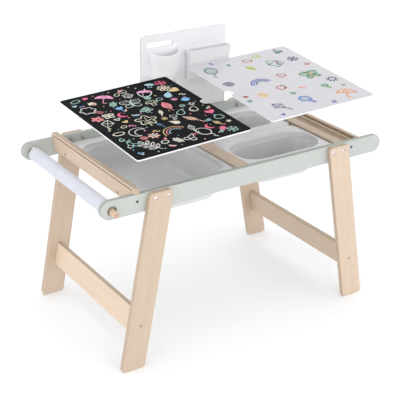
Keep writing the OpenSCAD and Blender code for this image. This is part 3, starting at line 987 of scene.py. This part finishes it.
# heads on a set of points, each with a crossed slot, turned to face out along "facing"
def fastenerInside(tree, given):
    radius, dome, length = given["Head Radius"], given["Dome"], given["Shank Length"]
    ball = add(tree, "GeometryNodeMeshUVSphere", {"Segments": 32, "Rings": 16, "Radius": 1.0})
    head = add(tree, "GeometryNodeTransform", {
        "Geometry": ball, "Scale": vectorOf(tree, x=radius, y=radius, z=dome)})
    slotLength = calc(tree, "MULTIPLY", radius, slotShares["length"])
    slotWidth = calc(tree, "MULTIPLY", radius, slotShares["width"])
    slotHeight = calc(tree, "MULTIPLY", given["Slot Depth"], 2.0)
    bars = []
    for x, y in ((slotLength, slotWidth), (slotWidth, slotLength)):
        bar = add(tree, "GeometryNodeMeshCube", {"Size": vectorOf(tree, x=x, y=y, z=slotHeight)})
        bars.append(add(tree, "GeometryNodeTransform", {
            "Geometry": bar, "Translation": vectorOf(tree, z=dome)}))
    slotted = add(tree, "GeometryNodeMeshBoolean", {"Mesh 1": head, "Mesh 2": bars},
                  operation="DIFFERENCE", solver="EXACT")
    shank = add(tree, "GeometryNodeMeshCylinder", {
        "Vertices": 16, "Radius": given["Shank Radius"], "Depth": length})
    half = calc(tree, "MULTIPLY", length, -0.5)
    shankPlace = add(tree, "GeometryNodeTransform", {
        "Geometry": shank, "Translation": vectorOf(tree, z=half)})
    whole = add(tree, "GeometryNodeJoinGeometry", {0: [shankPlace, slotted]})
    aimed = add(tree, "FunctionNodeAlignRotationToVector", {
        "Vector": stored(tree, "facing", "FLOAT_VECTOR")}, axis="Z")
    # the two numbers are the least and the most that a head is turned
    spin = add(tree, "FunctionNodeRandomValue", {
        2: 0.0, 3: pi / 2, "Seed": given["Seed"]}, data_type="FLOAT")
    turn = add(tree, "FunctionNodeAxisAngleToRotation", {
        "Axis": (0, 0, 1), "Angle": spin.outputs[1]})
    turned = add(tree, "FunctionNodeRotateRotation", {
        "Rotation": aimed, "Rotate By": turn}, rotation_space="LOCAL")
    placed = add(tree, "GeometryNodeInstanceOnPoints", {
        "Points": given["Points"], "Instance": whole, "Rotation": turned})
    return {"Geometry": dressed(tree, placed, given["Material"])}


fastenerTree = makeGroup("crossHeads", "Geometry", fastenerInside, {
    "Points": "Geometry", "Head Radius": 0.007, "Dome": 0.0025, "Slot Depth": 0.0012,
    "Shank Radius": 0.003, "Shank Length": 0.02, "Seed": 3, "Material": "Material"})

# each set: the way its heads face, its steel, then its heads' radius, dome and slot depth and
# its shanks' radius, all in mm
fastenerLook = {
    "leg_bolts": ("Y", "boltSteel", (7.0, 2.5, 1.6, 3.0)),
    "stretcher_screws": ("Y", "zincSteel", (4.0, 0.5, 0.9, 2.0)),
    "cross_screws": ("Y", "blackenedSteel", (4.0, 0.5, 0.9, 2.0)),
    "ledge_screws": ("X", "bronzedSteel", (4.0, 0.5, 0.9, 2.0)),
    "organiser_screws": ("back", "zincSteel", (4.0, 1.5, 0.9, 2.0)),
    "pocket_rivets": ("through", "zincSteel", (4.0, 1.5, 0.0, 2.0)),
}

# a dome over this height in mm is set back by it, and a shank is this share of its solid
sinkOver = 1.0
shankShare = 0.9
rivetShankShare = 0.5


# where each head sits and which way it looks, from the solids' own boxes
def headSpots(node, way):
    spots = []
    for low, high in looseBoxes(node):
        middle = (low + high) / 2
        front = (Vector((middle.x, low.y, middle.z)), Vector((0, -1, 0)))
        back = (Vector((middle.x, high.y, middle.z)), Vector((0, 1, 0)))
        if way == "Y":
            spots.append(back if middle.y > 0 else front)
        elif way == "X":
            spots.append((Vector((low.x, middle.y, middle.z)), Vector((-1, 0, 0))))
        elif way == "back":
            spots.append(back)
        else:
            spots += [back, front]
    return spots


def makeFasteners(node, way, metal, sizes):
    headRadius, dome, slotDepth, shankRadius = (size * mm for size in sizes)
    spots = headSpots(node, way)
    low, high = looseBoxes(node)[0]
    length = high.x - low.x if way == "X" else high.y - low.y
    length *= rivetShankShare if way == "through" else shankShare
    sunk = dome if dome > sinkOver * mm else 0.0
    mesh = bpy.data.meshes.new(node + "_heads")
    mesh.from_pydata([spot - facing * sunk for spot, facing in spots], [], [])
    keep(mesh, "facing", "FLOAT_VECTOR", "vector", [facing for spot, facing in spots])
    piece = dressWith(newObject(mesh.name, mesh), fastenerTree, {
        "Head Radius": headRadius, "Dome": dome, "Slot Depth": slotDepth,
        "Shank Radius": shankRadius, "Shank Length": length, "Material": steels[metal]})
    smooth(piece.data, sharpAngle=30)
    return standFor(piece, node)


for node, look in fastenerLook.items():
    makeFasteners(node, *look)
for node, material in (("leg_nuts", steels["nutSteel"]), ("cross_dowels", beech)):
    cadNodes[node].data.materials.clear()
    cadNodes[node].data.materials.append(material)
print("fasteners set")


# a point turned about the middle by an angle
def spun(angle, x, y=0.0):
    c, s = cos(angle), sin(angle)
    return (x * c - y * s, x * s + y * c)


# what a rule gives at so many equal steps of a whole turn
def looped(steps, rule):
    return [rule(2 * pi * i / steps) for i in range(steps)]


# an oval as a closed loop, turned by an angle in degrees
def oval(x, y, halfX, halfY, turn=0.0, steps=22):
    def place(a):
        u, v = spun(radians(turn), halfX * cos(a), halfY * sin(a))
        return (x + u, y + v)
    return looped(steps, place)


def arc(x, y, radius, start, end, squash=1.0, steps=14):
    angles = [radians(start + (end - start) * i / steps) for i in range(steps + 1)]
    return [(x + radius * cos(a), y + radius * squash * sin(a)) for a in angles]


# a leaf's outline between two ends
def blade(x0, y0, x1, y1, bulge, steps=9):
    start, along = Vector((x0, y0)), Vector((x1 - x0, y1 - y0))
    side = Vector((-along.y, along.x)).normalized() * bulge
    there = [i / steps for i in range(steps + 1)]
    left = [start + along * t + side * sin(pi * t) for t in there]
    right = [start + along * t - side * sin(pi * t) for t in there[-2:0:-1]]
    return [tuple(p) for p in left + right]


def polar(radiusAt, squash=1.0, size=1.0, middleY=0.0):
    return looped(44, lambda a: (size * radiusAt(a) * cos(a),
                                 middleY + size * radiusAt(a) * squash * sin(a)))


sides = (-1, 1)
zigzag = [(-1 + 0.29 * i, 0.16 if i % 2 else -0.16) for i in range(8)]
wave = [(-1.1 + 0.11 * i, 0.17 * sin(1.15 * i)) for i in range(21)]

# each motif is about two units across: closed bodies, lines over them (inner), lines beside
# them (outer, and second and third in other colours) and closed accents
motifs = {
    "leaf": {
        "body": [blade(0, -0.9, 0, 1, 0.45)],
        "inner": [[(0, -0.7), (0, 0.8)], *(
            [(0, y), (s * 0.27, y + 0.3)] for y in (-0.55, -0.1, 0.35) for s in sides)],
        "outer": [[(0, -0.9), (0.08, -1.25)]]},
    "lobedLeaf": {
        "body": [polar(lambda a: 0.72 + 0.2 * cos(5 * a - pi / 2))],
        "inner": [[(0, -0.2), spun(radians(18 + 72 * i), 0.62)] for i in range(5)],
        "outer": [[(0, -0.55), (0.1, -1.2)]]},
    "sprig": {
        "body": [*(blade(0, y, s * 0.62, y + 0.42, 0.15) for y in (-0.75, -0.25, 0.25)
                   for s in sides), blade(0, 0.6, 0, 1.15, 0.16)],
        "outer": [[(0, -1.2), (0.03, 0), (0, 0.6)]]},
    "daisy": {
        "body": looped(7, lambda a: oval(*spun(a, 0.62), 0.33, 0.19, degrees(a))),
        "accents": [oval(0, 0, 0.25, 0.25)]},
    "tulip": {
        "body": [[(-0.55, 0.95), (-0.5, 0.3), (-0.25, 0.02), (0.25, 0.02), (0.5, 0.3),
                  (0.55, 0.95), (0.27, 0.62), (0, 1.0), (-0.27, 0.62)]],
        "outer": [[(0, 0), (0, -1.1)]],
        "accents": [blade(0, -1.0, 0.6, -0.3, 0.14)]},
    "mushroom": {
        "body": [arc(0, 0.05, 0.92, 0, 180, 0.85) + [(-0.3, -0.06), (0.3, -0.06)]],
        "outer": [[(-0.24, -0.06), (-0.3, -0.9), (0.3, -0.9), (0.24, -0.06)]],
        "accents": [oval(x, y, 0.12, 0.1, steps=12)
                    for x, y in ((-0.42, 0.32), (0.05, 0.52), (0.45, 0.28))]},
    "apple": {
        "body": [polar(lambda a: 0.8 - 0.2 * exp(-((a - pi / 2) / 0.4) ** 2)
                       + 0.04 * cos(4 * a))],
        "inner": [arc(0.1, 0, 0.5, -50, 30)],
        "outer": [[(0, 0.55), (0.1, 1.0)]],
        "accents": [blade(0.1, 0.85, 0.6, 1.0, 0.12)]},
    "pear": {
        "body": [looped(30, lambda a: (
            sin(a) * (0.55 + 0.24 * cos(a)), -0.95 * cos(a)))],
        "inner": [arc(-0.1, -0.45, 0.4, 160, 250)],
        "outer": [[(0, 0.95), (0.12, 1.3)]],
        "accents": [blade(0.05, 1.05, 0.5, 1.3, 0.1)]},
    "cherries": {
        "body": [oval(-0.5, -0.6, 0.36, 0.34), oval(0.42, -0.72, 0.36, 0.34)],
        "outer": [[(-0.48, -0.25), (-0.15, 0.45), (0.2, 0.95)],
                  [(0.42, -0.38), (0.36, 0.4), (0.2, 0.95)]],
        "accents": [blade(0.2, 0.95, 0.9, 0.7, 0.17)]},
    "smallStar": {
        "body": [[spun(pi / 2 + pi * i / 5, 0.42 if i % 2 else 0.95)
                  for i in range(10)]]},
    "heart": {
        "body": [looped(34, lambda a: (
            0.9 * sin(a) ** 3,
            0.74 * cos(a) - 0.29 * cos(2 * a) - 0.11 * cos(3 * a)))]},
    "spiral": {
        "outer": [[spun(5 * pi * i / 44, 0.05 + 0.9 * i / 44) for i in range(45)]]},
    "cloud": {
        "body": [polar(lambda a: 0.84 + 0.13 * abs(sin(3.5 * a)), 0.58)]},
    "moon": {
        "body": [arc(0, 0, 0.9, 60, 300) + arc(0.42, 0, 0.78, 272, 88)],
        "accents": [oval(0.55, 0.35, 0.1, 0.1, steps=8)]},
    "balloon": {
        "body": [oval(0, 0.3, 0.6, 0.76)],
        "inner": [arc(-0.05, 0.35, 0.4, 110, 190)],
        "outer": [[(0, -0.6), (0.14, -0.85), (-0.1, -1.1), (0.08, -1.4)]],
        "accents": [[(-0.1, -0.6), (0.1, -0.6), (0, -0.45)]]},
    "kite": {
        "body": [[(0, 1), (0.62, 0.2), (0, -0.8), (-0.62, 0.2)]],
        "inner": [[(0, 0.95), (0, -0.7)], [(-0.55, 0.2), (0.55, 0.2)]],
        "outer": [[(0, -0.8), (0.2, -1.0), (0.02, -1.2), (0.24, -1.42)]],
        "accents": [oval(0.18, -1.0, 0.14, 0.07, 30, 8), oval(0.08, -1.25, 0.14, 0.07, -30, 8)]},
    "umbrella": {
        "body": [arc(0, 0, 0.93, 180, 0, 0.95) + [
            p for x in (0.62, 0, -0.62) for p in arc(x, 0, 0.31, 0, 180, 0.4, 6)]],
        "inner": [[(0, 0.85), (x, 0.12)] for x in (-0.35, 0.35)],
        "outer": [[(0, 0.1), (0, -0.85)] + arc(0.17, -0.85, 0.17, 180, 340, steps=8)]},
    "butterfly": {
        "body": [*(oval(s * 0.5, 0.42, 0.46, 0.34, s * 35) for s in sides),
                 *(oval(s * 0.4, -0.38, 0.34, 0.25, -s * 30) for s in sides)],
        "inner": [arc(s * 0.5, 0.42, 0.18, 0, 300, steps=8) for s in sides],
        "outer": [[(0, 0.55), (s * 0.3, 1.0)] for s in sides],
        "accents": [oval(0, 0, 0.1, 0.6)]},
    "acorn": {
        "body": [arc(0, 0, 0.6, 180, 360, 1.6)],
        "inner": [[(-0.15, -0.1), (-0.18, -0.7)]],
        "outer": [[(0, 0.45), (0.1, 0.85)]],
        "accents": [arc(0, 0.02, 0.72, 0, 180, 0.66)]},
    "feather": {
        "body": [blade(0, -0.75, 0.2, 1.1, 0.3)],
        "inner": [[(0, -0.7), (0.18, 0.95)], *(
            [(0.02 + 0.03 * i, -0.5 + 0.27 * i), (0.02 + 0.03 * i + s * 0.2, -0.32 + 0.27 * i)]
            for i in range(5) for s in sides)],
        "outer": [[(0, -0.75), (-0.12, -1.25)]]},
    "rayed": {
        "body": [oval(0, 0, 0.5, 0.5)],
        "outer": looped(9, lambda a: [spun(a, 0.68), spun(a, 0.98)])},
    "rainbow": {
        "outer": [arc(0, -0.5, 1.0, 5, 175)],
        "second": [arc(0, -0.5, 0.76, 5, 175)],
        "third": [arc(0, -0.5, 0.52, 5, 175)]},
    "drop": {
        "body": [arc(0, -0.25, 0.55, 150, 390) + [(0, 1.0)]],
        "inner": [arc(0, -0.25, 0.33, 200, 280)]},
    "snowflake": {
        "outer": [line for a in looped(6, lambda a: a) for line in (
            [(0, 0), spun(a, 1.0)], [spun(a, 0.9, 0.25), spun(a, 0.62), spun(a, 0.9, -0.25)])]},
    "pebbles": {
        "body": [oval(-0.55, 0.1, 0.4, 0.3, 20), oval(0.35, 0.35, 0.3, 0.26)],
        "accents": [oval(0.3, -0.4, 0.42, 0.25, -15)]},
    "zigzag": {
        "outer": [zigzag],
        "second": [[(x, y - 0.45) for x, y in zigzag[1:6]]]},
    "house": {
        "outer": [[(-0.6, 0.15), (-0.6, -0.85), (0.6, -0.85), (0.6, 0.15)],
                  [(-0.78, 0.08), (0, 0.85), (0.78, 0.08), (-0.78, 0.08)]],
        "second": [[(-0.14, -0.85), (-0.14, -0.35), (0.16, -0.35), (0.16, -0.85)]],
        "third": [[(0.25, -0.1), (0.45, -0.1), (0.45, -0.32), (0.25, -0.32), (0.25, -0.1)]]},
    "tree": {
        "body": [polar(lambda a: 0.95 + 0.14 * sin(6 * a), size=0.62, middleY=0.35)],
        "second": [[(s * 0.12, -0.25), (s * 0.14, -1)] for s in sides]},
    "dot": {
        "body": [oval(0, 0, 1, 0.85, 20, 12)]},
    "ring": {
        "outer": [oval(0, 0, 0.9, 0.62, 15, 20) + [(0.9, 0.2)]]},
    "ripples": {
        "outer": [wave],
        "second": [[(x + 0.12, y - 0.5) for x, y in wave[3:17]]]},
    "curl": {
        "outer": [arc(-0.3, 0.1, 0.62, 200, -40) + arc(0.5, -0.35, 0.42, 130, 340, steps=9)]},
    "cross": {
        "outer": [[(-0.8, -0.7), (0.8, 0.7)], [(-0.75, 0.75), (0.8, -0.75)]]},
}

# each group: how many, smallest and largest half size in mm, and the motifs
chalkLines = {
    "seed": 23,
    "margin": 11.0,
    "closeness": 0.84,
    "tries": 30,
    "notchRoom": 13.0,
    "groups": [
        (12, 26.0, 33.0, "leaf umbrella feather butterfly tree lobedLeaf kite sprig balloon "
                         "rainbow acorn moon"),
        (34, 15.0, 20.0, "tulip daisy pear mushroom apple lobedLeaf heart cherries moon leaf "
                         "acorn cloud drop butterfly sprig snowflake feather"),
        (28, 8.0, 11.0, "pebbles dot smallStar spiral drop ripples ring rayed curl heart dot "
                        "ripples"),
        (34, 1.8, 3.0, "dot"),
    ],
    "width": 2.0,
    "filled": 0.5,
    "wobble": 0.35,
    "hatched": False,
    "inks": [(0.20, 0.44, 0.76), (0.80, 0.26, 0.28), (0.82, 0.33, 0.56), (0.76, 0.13, 0.24),
             (0.34, 0.60, 0.52), (0.76, 0.72, 0.58), (0.72, 0.54, 0.26), (0.14, 0.30, 0.52),
             (0.36, 0.58, 0.66), (0.80, 0.50, 0.40)],
    "lineInks": [(0.74, 0.74, 0.70), (0.76, 0.72, 0.56), (0.36, 0.58, 0.52), (0.60, 0.62, 0.58),
                 (0.76, 0.74, 0.64)],
    "under": (0.010, 0.011, 0.013),
    "roughness": 0.85,
    "cover": 0.72,
}

markerLines = {
    "seed": 5,
    "margin": 8.0,
    "closeness": 1.0,
    "tries": 14,
    "notchRoom": 16.0,
    "groups": [
        (7, 25.0, 32.0, "house tree butterfly umbrella kite balloon rainbow"),
        (11, 15.0, 20.0, "spiral apple tulip smallStar leaf cherries cloud snowflake heart "
                         "mushroom rayed"),
        (10, 6.0, 9.0, "drop zigzag cross ring curl heart"),
    ],
    "width": 3.0,
    "filled": 0.55,
    "wobble": 0.5,
    "hatched": True,
    "inks": [(0.84, 0.26, 0.04), (0.015, 0.17, 0.52), (0.54, 0.03, 0.29), (0.025, 0.22, 0.19),
             (0.44, 0.09, 0.06), (0.15, 0.07, 0.40), (0.84, 0.50, 0.05), (0.44, 0.58, 0.06),
             (0.04, 0.28, 0.10), (0.07, 0.09, 0.16)],
    # the board's grey, seen through the gaps in the strokes, carries the same painted shade
    "under": (0.52, 0.51, 0.55),
    "roughness": 0.35,
    "cover": 0.9,
}
markerLines["lineInks"] = markerLines["inks"]

# how far marks rise above a board, in mm, the widths of lines and the gap of hatching as shares
# of a stroke's width, and the size in mm under which a motif is always filled
markLook = {
    "fillRise": 0.12,
    "hatchRise": 0.16,
    "accentRise": 0.18,
    "lineRise": 0.25,
    "innerWidth": 0.6,
    "outerWidth": 0.95,
    "hatchGap": 0.8,
    "alwaysFilled": 4.0,
}


# a face's own plane: X across, Y from front to back, Z out, from the middle of its top
def facePlane(node):
    work = mergedMesh(node)
    top = max(work.faces, key=lambda f: f.calc_area() if f.normal.z > 0.5 else 0)
    out = top.normal.copy()
    longest = max(top.edges, key=lambda e: e.calc_length())
    deep = (longest.verts[1].co - longest.verts[0].co).normalized()
    if deep.y < 0:
        deep = -deep
    across = deep.cross(out).normalized()
    overX = [v.co.dot(across) for v in top.verts]
    overY = [v.co.dot(deep) for v in top.verts]
    height = top.verts[0].co.dot(out)
    work.free()
    plane = Matrix((across, deep, out)).transposed().to_4x4()
    plane.translation = (
        across * (min(overX) + max(overX)) + deep * (min(overY) + max(overY))) / 2 + out * height
    return plane, max(overX) - min(overX), max(overY) - min(overY)


# each point of a loop with the next one
def stepsOf(loop):
    return zip(loop, loop[1:] + loop[:1])


# a scribble that goes to and fro between a loop's two sides
def scribble(loop, gap):
    path = []
    y = min(p[1] for p in loop) + gap
    while y < max(p[1] for p in loop) - gap / 2:
        crossings = [a[0] + (b[0] - a[0]) * (y - a[1]) / (b[1] - a[1])
                     for a, b in stepsOf(loop) if (a[1] > y) != (b[1] > y)]
        pick = max if len(path) % 2 else min
        path.append((pick(crossings), y))
        y += gap
    return path


# one motif laid on the board: lists of (closed or not, filled or not, points, colour, width, rise)
def layMotif(shape, spot, size, turn, look, chance):
    filled = chance.random() < look["filled"] or size < markLook["alwaysFilled"] * mm
    main, second, third = chance.sample(look["inks"], 3)
    if not filled:
        main = chance.choice(look["lineInks"])
    shake = look["wobble"] * mm
    thick = look["width"] * mm * chance.uniform(0.8, 1.1)

    def laid(points):
        placed = []
        for x, y in points:
            u, v = spun(turn, x * size, y * size)
            placed.append((spot.x + u + chance.uniform(-shake, shake),
                           spot.y + v + chance.uniform(-shake, shake)))
        return placed

    marks = []
    for loop in shape.get("body", []):
        edge = laid(loop)
        if filled and look["hatched"]:
            lines = scribble(edge, thick * markLook["hatchGap"])
            marks.append((False, False, lines, main, thick, markLook["hatchRise"]))
        if filled and not look["hatched"]:
            marks.append((True, True, edge, main, thick, markLook["fillRise"]))
        else:
            marks.append((True, False, edge, main, thick, markLook["lineRise"]))
    for loop in shape.get("accents", []):
        marks.append((True, True, laid(loop), second, thick, markLook["accentRise"]))
    over = look["under"] if filled else main
    for key, ink in (("inner", over), ("outer", main), ("second", second), ("third", third)):
        width = thick * markLook["innerWidth" if key == "inner" else "outerWidth"]
        for points in shape.get(key, []):
            marks.append((False, False, laid(points), ink, width, markLook["lineRise"]))
    return [mark for mark in marks if len(mark[2]) > 1]


# motifs of several sizes, the largest first, each set down where it finds the most room
def layOut(wide, deep, notchSide, look):
    chance = random.Random(look["seed"])
    notch = Vector((notchSide * wide / 2, 0))
    spots, marks = [], []
    for count, smallest, largest, names in look["groups"]:
        pack = []
        for _ in range(count):
            size = chance.uniform(smallest, largest) * mm
            halfX, halfY = (side / 2 - look["margin"] * mm - size for side in (wide, deep))

            def roomAt(place):
                gaps = [(place - spot).length - (size + r) * look["closeness"] for spot, r in spots]
                return min([(place - notch).length - look["notchRoom"] * mm - size, *gaps])

            tries = [Vector((chance.uniform(-halfX, halfX), chance.uniform(-halfY, halfY)))
                     for _ in range(look["tries"])]
            best = max(tries, key=roomAt)
            if roomAt(best) < 0:
                continue
            if not pack:
                pack = chance.sample(names.split(), len(names.split()))
            spots.append((best, size))
            turn = radians(chance.uniform(-40, 40))
            marks += layMotif(motifs[pack.pop()], best, size, turn, look, chance)
    print("motifs set down:", len(spots))
    return marks


# loose edges for lines and flat faces for fills, with what the tree needs on their points
def marksMesh(name, marks):
    points, edges, faces, inks, widths, rises = [], [], [], [], [], []
    for closed, filled, outline, ink, width, rise in marks:
        area = sum(a[0] * b[1] - b[0] * a[1] for a, b in stepsOf(outline))
        path = outline if area > 0 or not filled else outline[::-1]
        here = list(range(len(points), len(points) + len(path)))
        points += [(x, y, 0.0) for x, y in path]
        inks += [(*ink, 1.0)] * len(path)
        widths += [width] * len(path)
        rises += [rise * mm] * len(path)
        if filled:
            faces.append(here)
        else:
            edges += list(stepsOf(here))[:len(here) if closed else -1]
    mesh = bpy.data.meshes.new(name)
    mesh.from_pydata(points, edges, faces)
    keep(mesh, "ink", "FLOAT_COLOR", "color", inks)
    keep(mesh, "width", "FLOAT", "value", widths)
    keep(mesh, "rise", "FLOAT", "value", rises)
    return mesh


# lines become low ribbons and faces low tablets, both sunk a little into the board
def marksInside(tree, given):
    sunk = given["Sink"]
    faces = tree.nodes.new("GeometryNodeInputMeshEdgeNeighbors")
    filled = add(tree, "FunctionNodeCompare", {2: faces, 3: 0},
                 data_type="INT", operation="GREATER_THAN")
    parted = add(tree, "GeometryNodeSeparateGeometry", {
        "Geometry": given["Marks"], "Selection": filled}, domain="EDGE").outputs
    paths = add(tree, "GeometryNodeMeshToCurve", {"Mesh": parted["Inverted"]})
    level = add(tree, "GeometryNodeSetCurveNormal", {"Curve": paths}, mode="Z_UP")
    section = add(tree, "GeometryNodeCurvePrimitiveQuadrilateral", {
        "Height": 1.0, "Bottom Width": 1.0, "Top Width": 0.8}, mode="TRAPEZOID")
    ribbons = add(tree, "GeometryNodeCurveToMesh", {
        "Curve": level, "Profile Curve": section, "Scale": stored(tree, "width", "FLOAT"),
        "Fill Caps": True})
    place = split(tree, tree.nodes.new("GeometryNodeInputPosition"))
    above = calc(tree, "GREATER_THAN", place["Z"], 0.0)
    whole = calc(tree, "ADD", stored(tree, "rise", "FLOAT"), sunk)
    lowered = calc(tree, "SUBTRACT", calc(tree, "MULTIPLY", above, whole), sunk)
    ribbonsDown = add(tree, "GeometryNodeSetPosition", {
        "Geometry": ribbons, "Position": vectorOf(tree, x=place["X"], y=place["Y"], z=lowered)})
    tops = add(tree, "GeometryNodeExtrudeMesh", {
        "Mesh": parted["Selection"], "Offset": (0, 0, 1), "Offset Scale": whole,
        "Individual": False}, mode="FACES")
    under = add(tree, "GeometryNodeFlipFaces", {"Mesh": parted["Selection"]})
    tablets = add(tree, "GeometryNodeJoinGeometry", {0: [under, tops]})
    merged = add(tree, "GeometryNodeMergeByDistance", {"Geometry": tablets, "Distance": 1e-6})
    down = vectorOf(tree, z=calc(tree, "MULTIPLY", sunk, -1.0))
    tabletsDown = add(tree, "GeometryNodeSetPosition", {"Geometry": merged, "Offset": down})
    both = add(tree, "GeometryNodeJoinGeometry", {0: [tabletsDown, ribbonsDown]})
    return {"Geometry": dressed(tree, both, given["Material"])}


marksTree = makeGroup("drawnMarks", "Geometry", marksInside, {
    "Marks": "Geometry", "Sink": 0.0001, "Material": "Material"})


def drawOn(name, node, notchSide, look, ink):
    plane, wide, deep = facePlane(node)
    piece = newObject(name, marksMesh(name, layOut(wide, deep, notchSide, look)))
    material = drawnLine(ink, look["roughness"], look["cover"], look["under"])
    dressWith(piece, marksTree, {"Material": material})
    piece.data.transform(plane)
    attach(piece, cadNodes[node]["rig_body"])


drawOn("chalk_drawing", "chalk_lid_face", 1, chalkLines, "pastelChalk")
drawOn("marker_drawing", "white_lid_face", -1, markerLines, "markerInk")
print("both boards drawn on")

studio = {
    "floorSize": 30.0,
    "floorColour": (0.945, 0.960, 0.980),
    "floorRoughness": 0.8,
    "worldColour": (1.0, 1.0, 1.0),
    "worldStrength": 1.15,
    "lens": 90.83,
    "sensorWidth": 36.0,
    "seesTo": 60.0,
    "cameraSpot": (-1.4781, -2.2199, 1.5344),
    "cameraRight": (0.836583, -0.547739, 0.010495),
    "cameraUp": (0.220998, 0.354945, 0.908391),
    "cameraAhead": (0.501287, 0.757625, -0.417990),
}

# each lamp: place, aimed at, width, height, power in watts, colour
lamps = {
    "frontSoftbox": ((0.3, -3.8, 1.2), (0, 0, 0.4), 2.6, 1.6, 20, (1.0, 1.0, 1.0)),
    "leftSoftbox": ((-3.2, -0.6, 1.1), (0, 0, 0.4), 1.6, 1.4, 12, (0.98, 0.99, 1.0)),
}


def makeFloor():
    mesh = bpy.data.meshes.new("studioFloor")
    half = studio["floorSize"] / 2
    corners = [(-half, -half, 0), (half, -half, 0), (half, half, 0), (-half, half, 0)]
    mesh.from_pydata(corners, [], [(0, 1, 2, 3)])
    material = surfaced(bareMaterial("paleFloor"), {
        "Base Color": studio["floorColour"], "Roughness": studio["floorRoughness"]})
    newObject("studioFloor", mesh, material)


def makeLamps():
    for name, (spot, target, width, height, power, colour) in lamps.items():
        light = bpy.data.lights.new(name, "AREA")
        light.shape = "RECTANGLE"
        light.size, light.size_y = width, height
        light.energy = power
        light.color = colour
        lamp = newObject(name, light)
        lamp.location = spot
        lamp.rotation_euler = (Vector(target) - Vector(spot)).to_track_quat("-Z", "Y").to_euler()
    world = bpy.data.worlds.new("studioLight")
    world.use_nodes = True
    backdrop = world.node_tree.nodes["Background"]
    feed(world.node_tree, backdrop.inputs["Color"], studio["worldColour"])
    feed(world.node_tree, backdrop.inputs["Strength"], studio["worldStrength"])
    bpy.context.scene.world = world


def makeCamera():
    camera = newObject("photoCamera", bpy.data.cameras.new("photoCamera"))
    camera.data.lens = studio["lens"]
    camera.data.sensor_width = studio["sensorWidth"]
    camera.data.clip_end = studio["seesTo"]
    right, up, ahead = (Vector(studio["camera" + way]) for way in ("Right", "Up", "Ahead"))
    turned = Matrix((right, up, -ahead)).transposed().to_4x4()
    camera.matrix_world = Matrix.Translation(studio["cameraSpot"]) @ turned
    bpy.context.scene.camera = camera


makeFloor()
makeLamps()
makeCamera()
bpy.context.scene.view_settings.view_transform = "Standard"
print("studio ready")
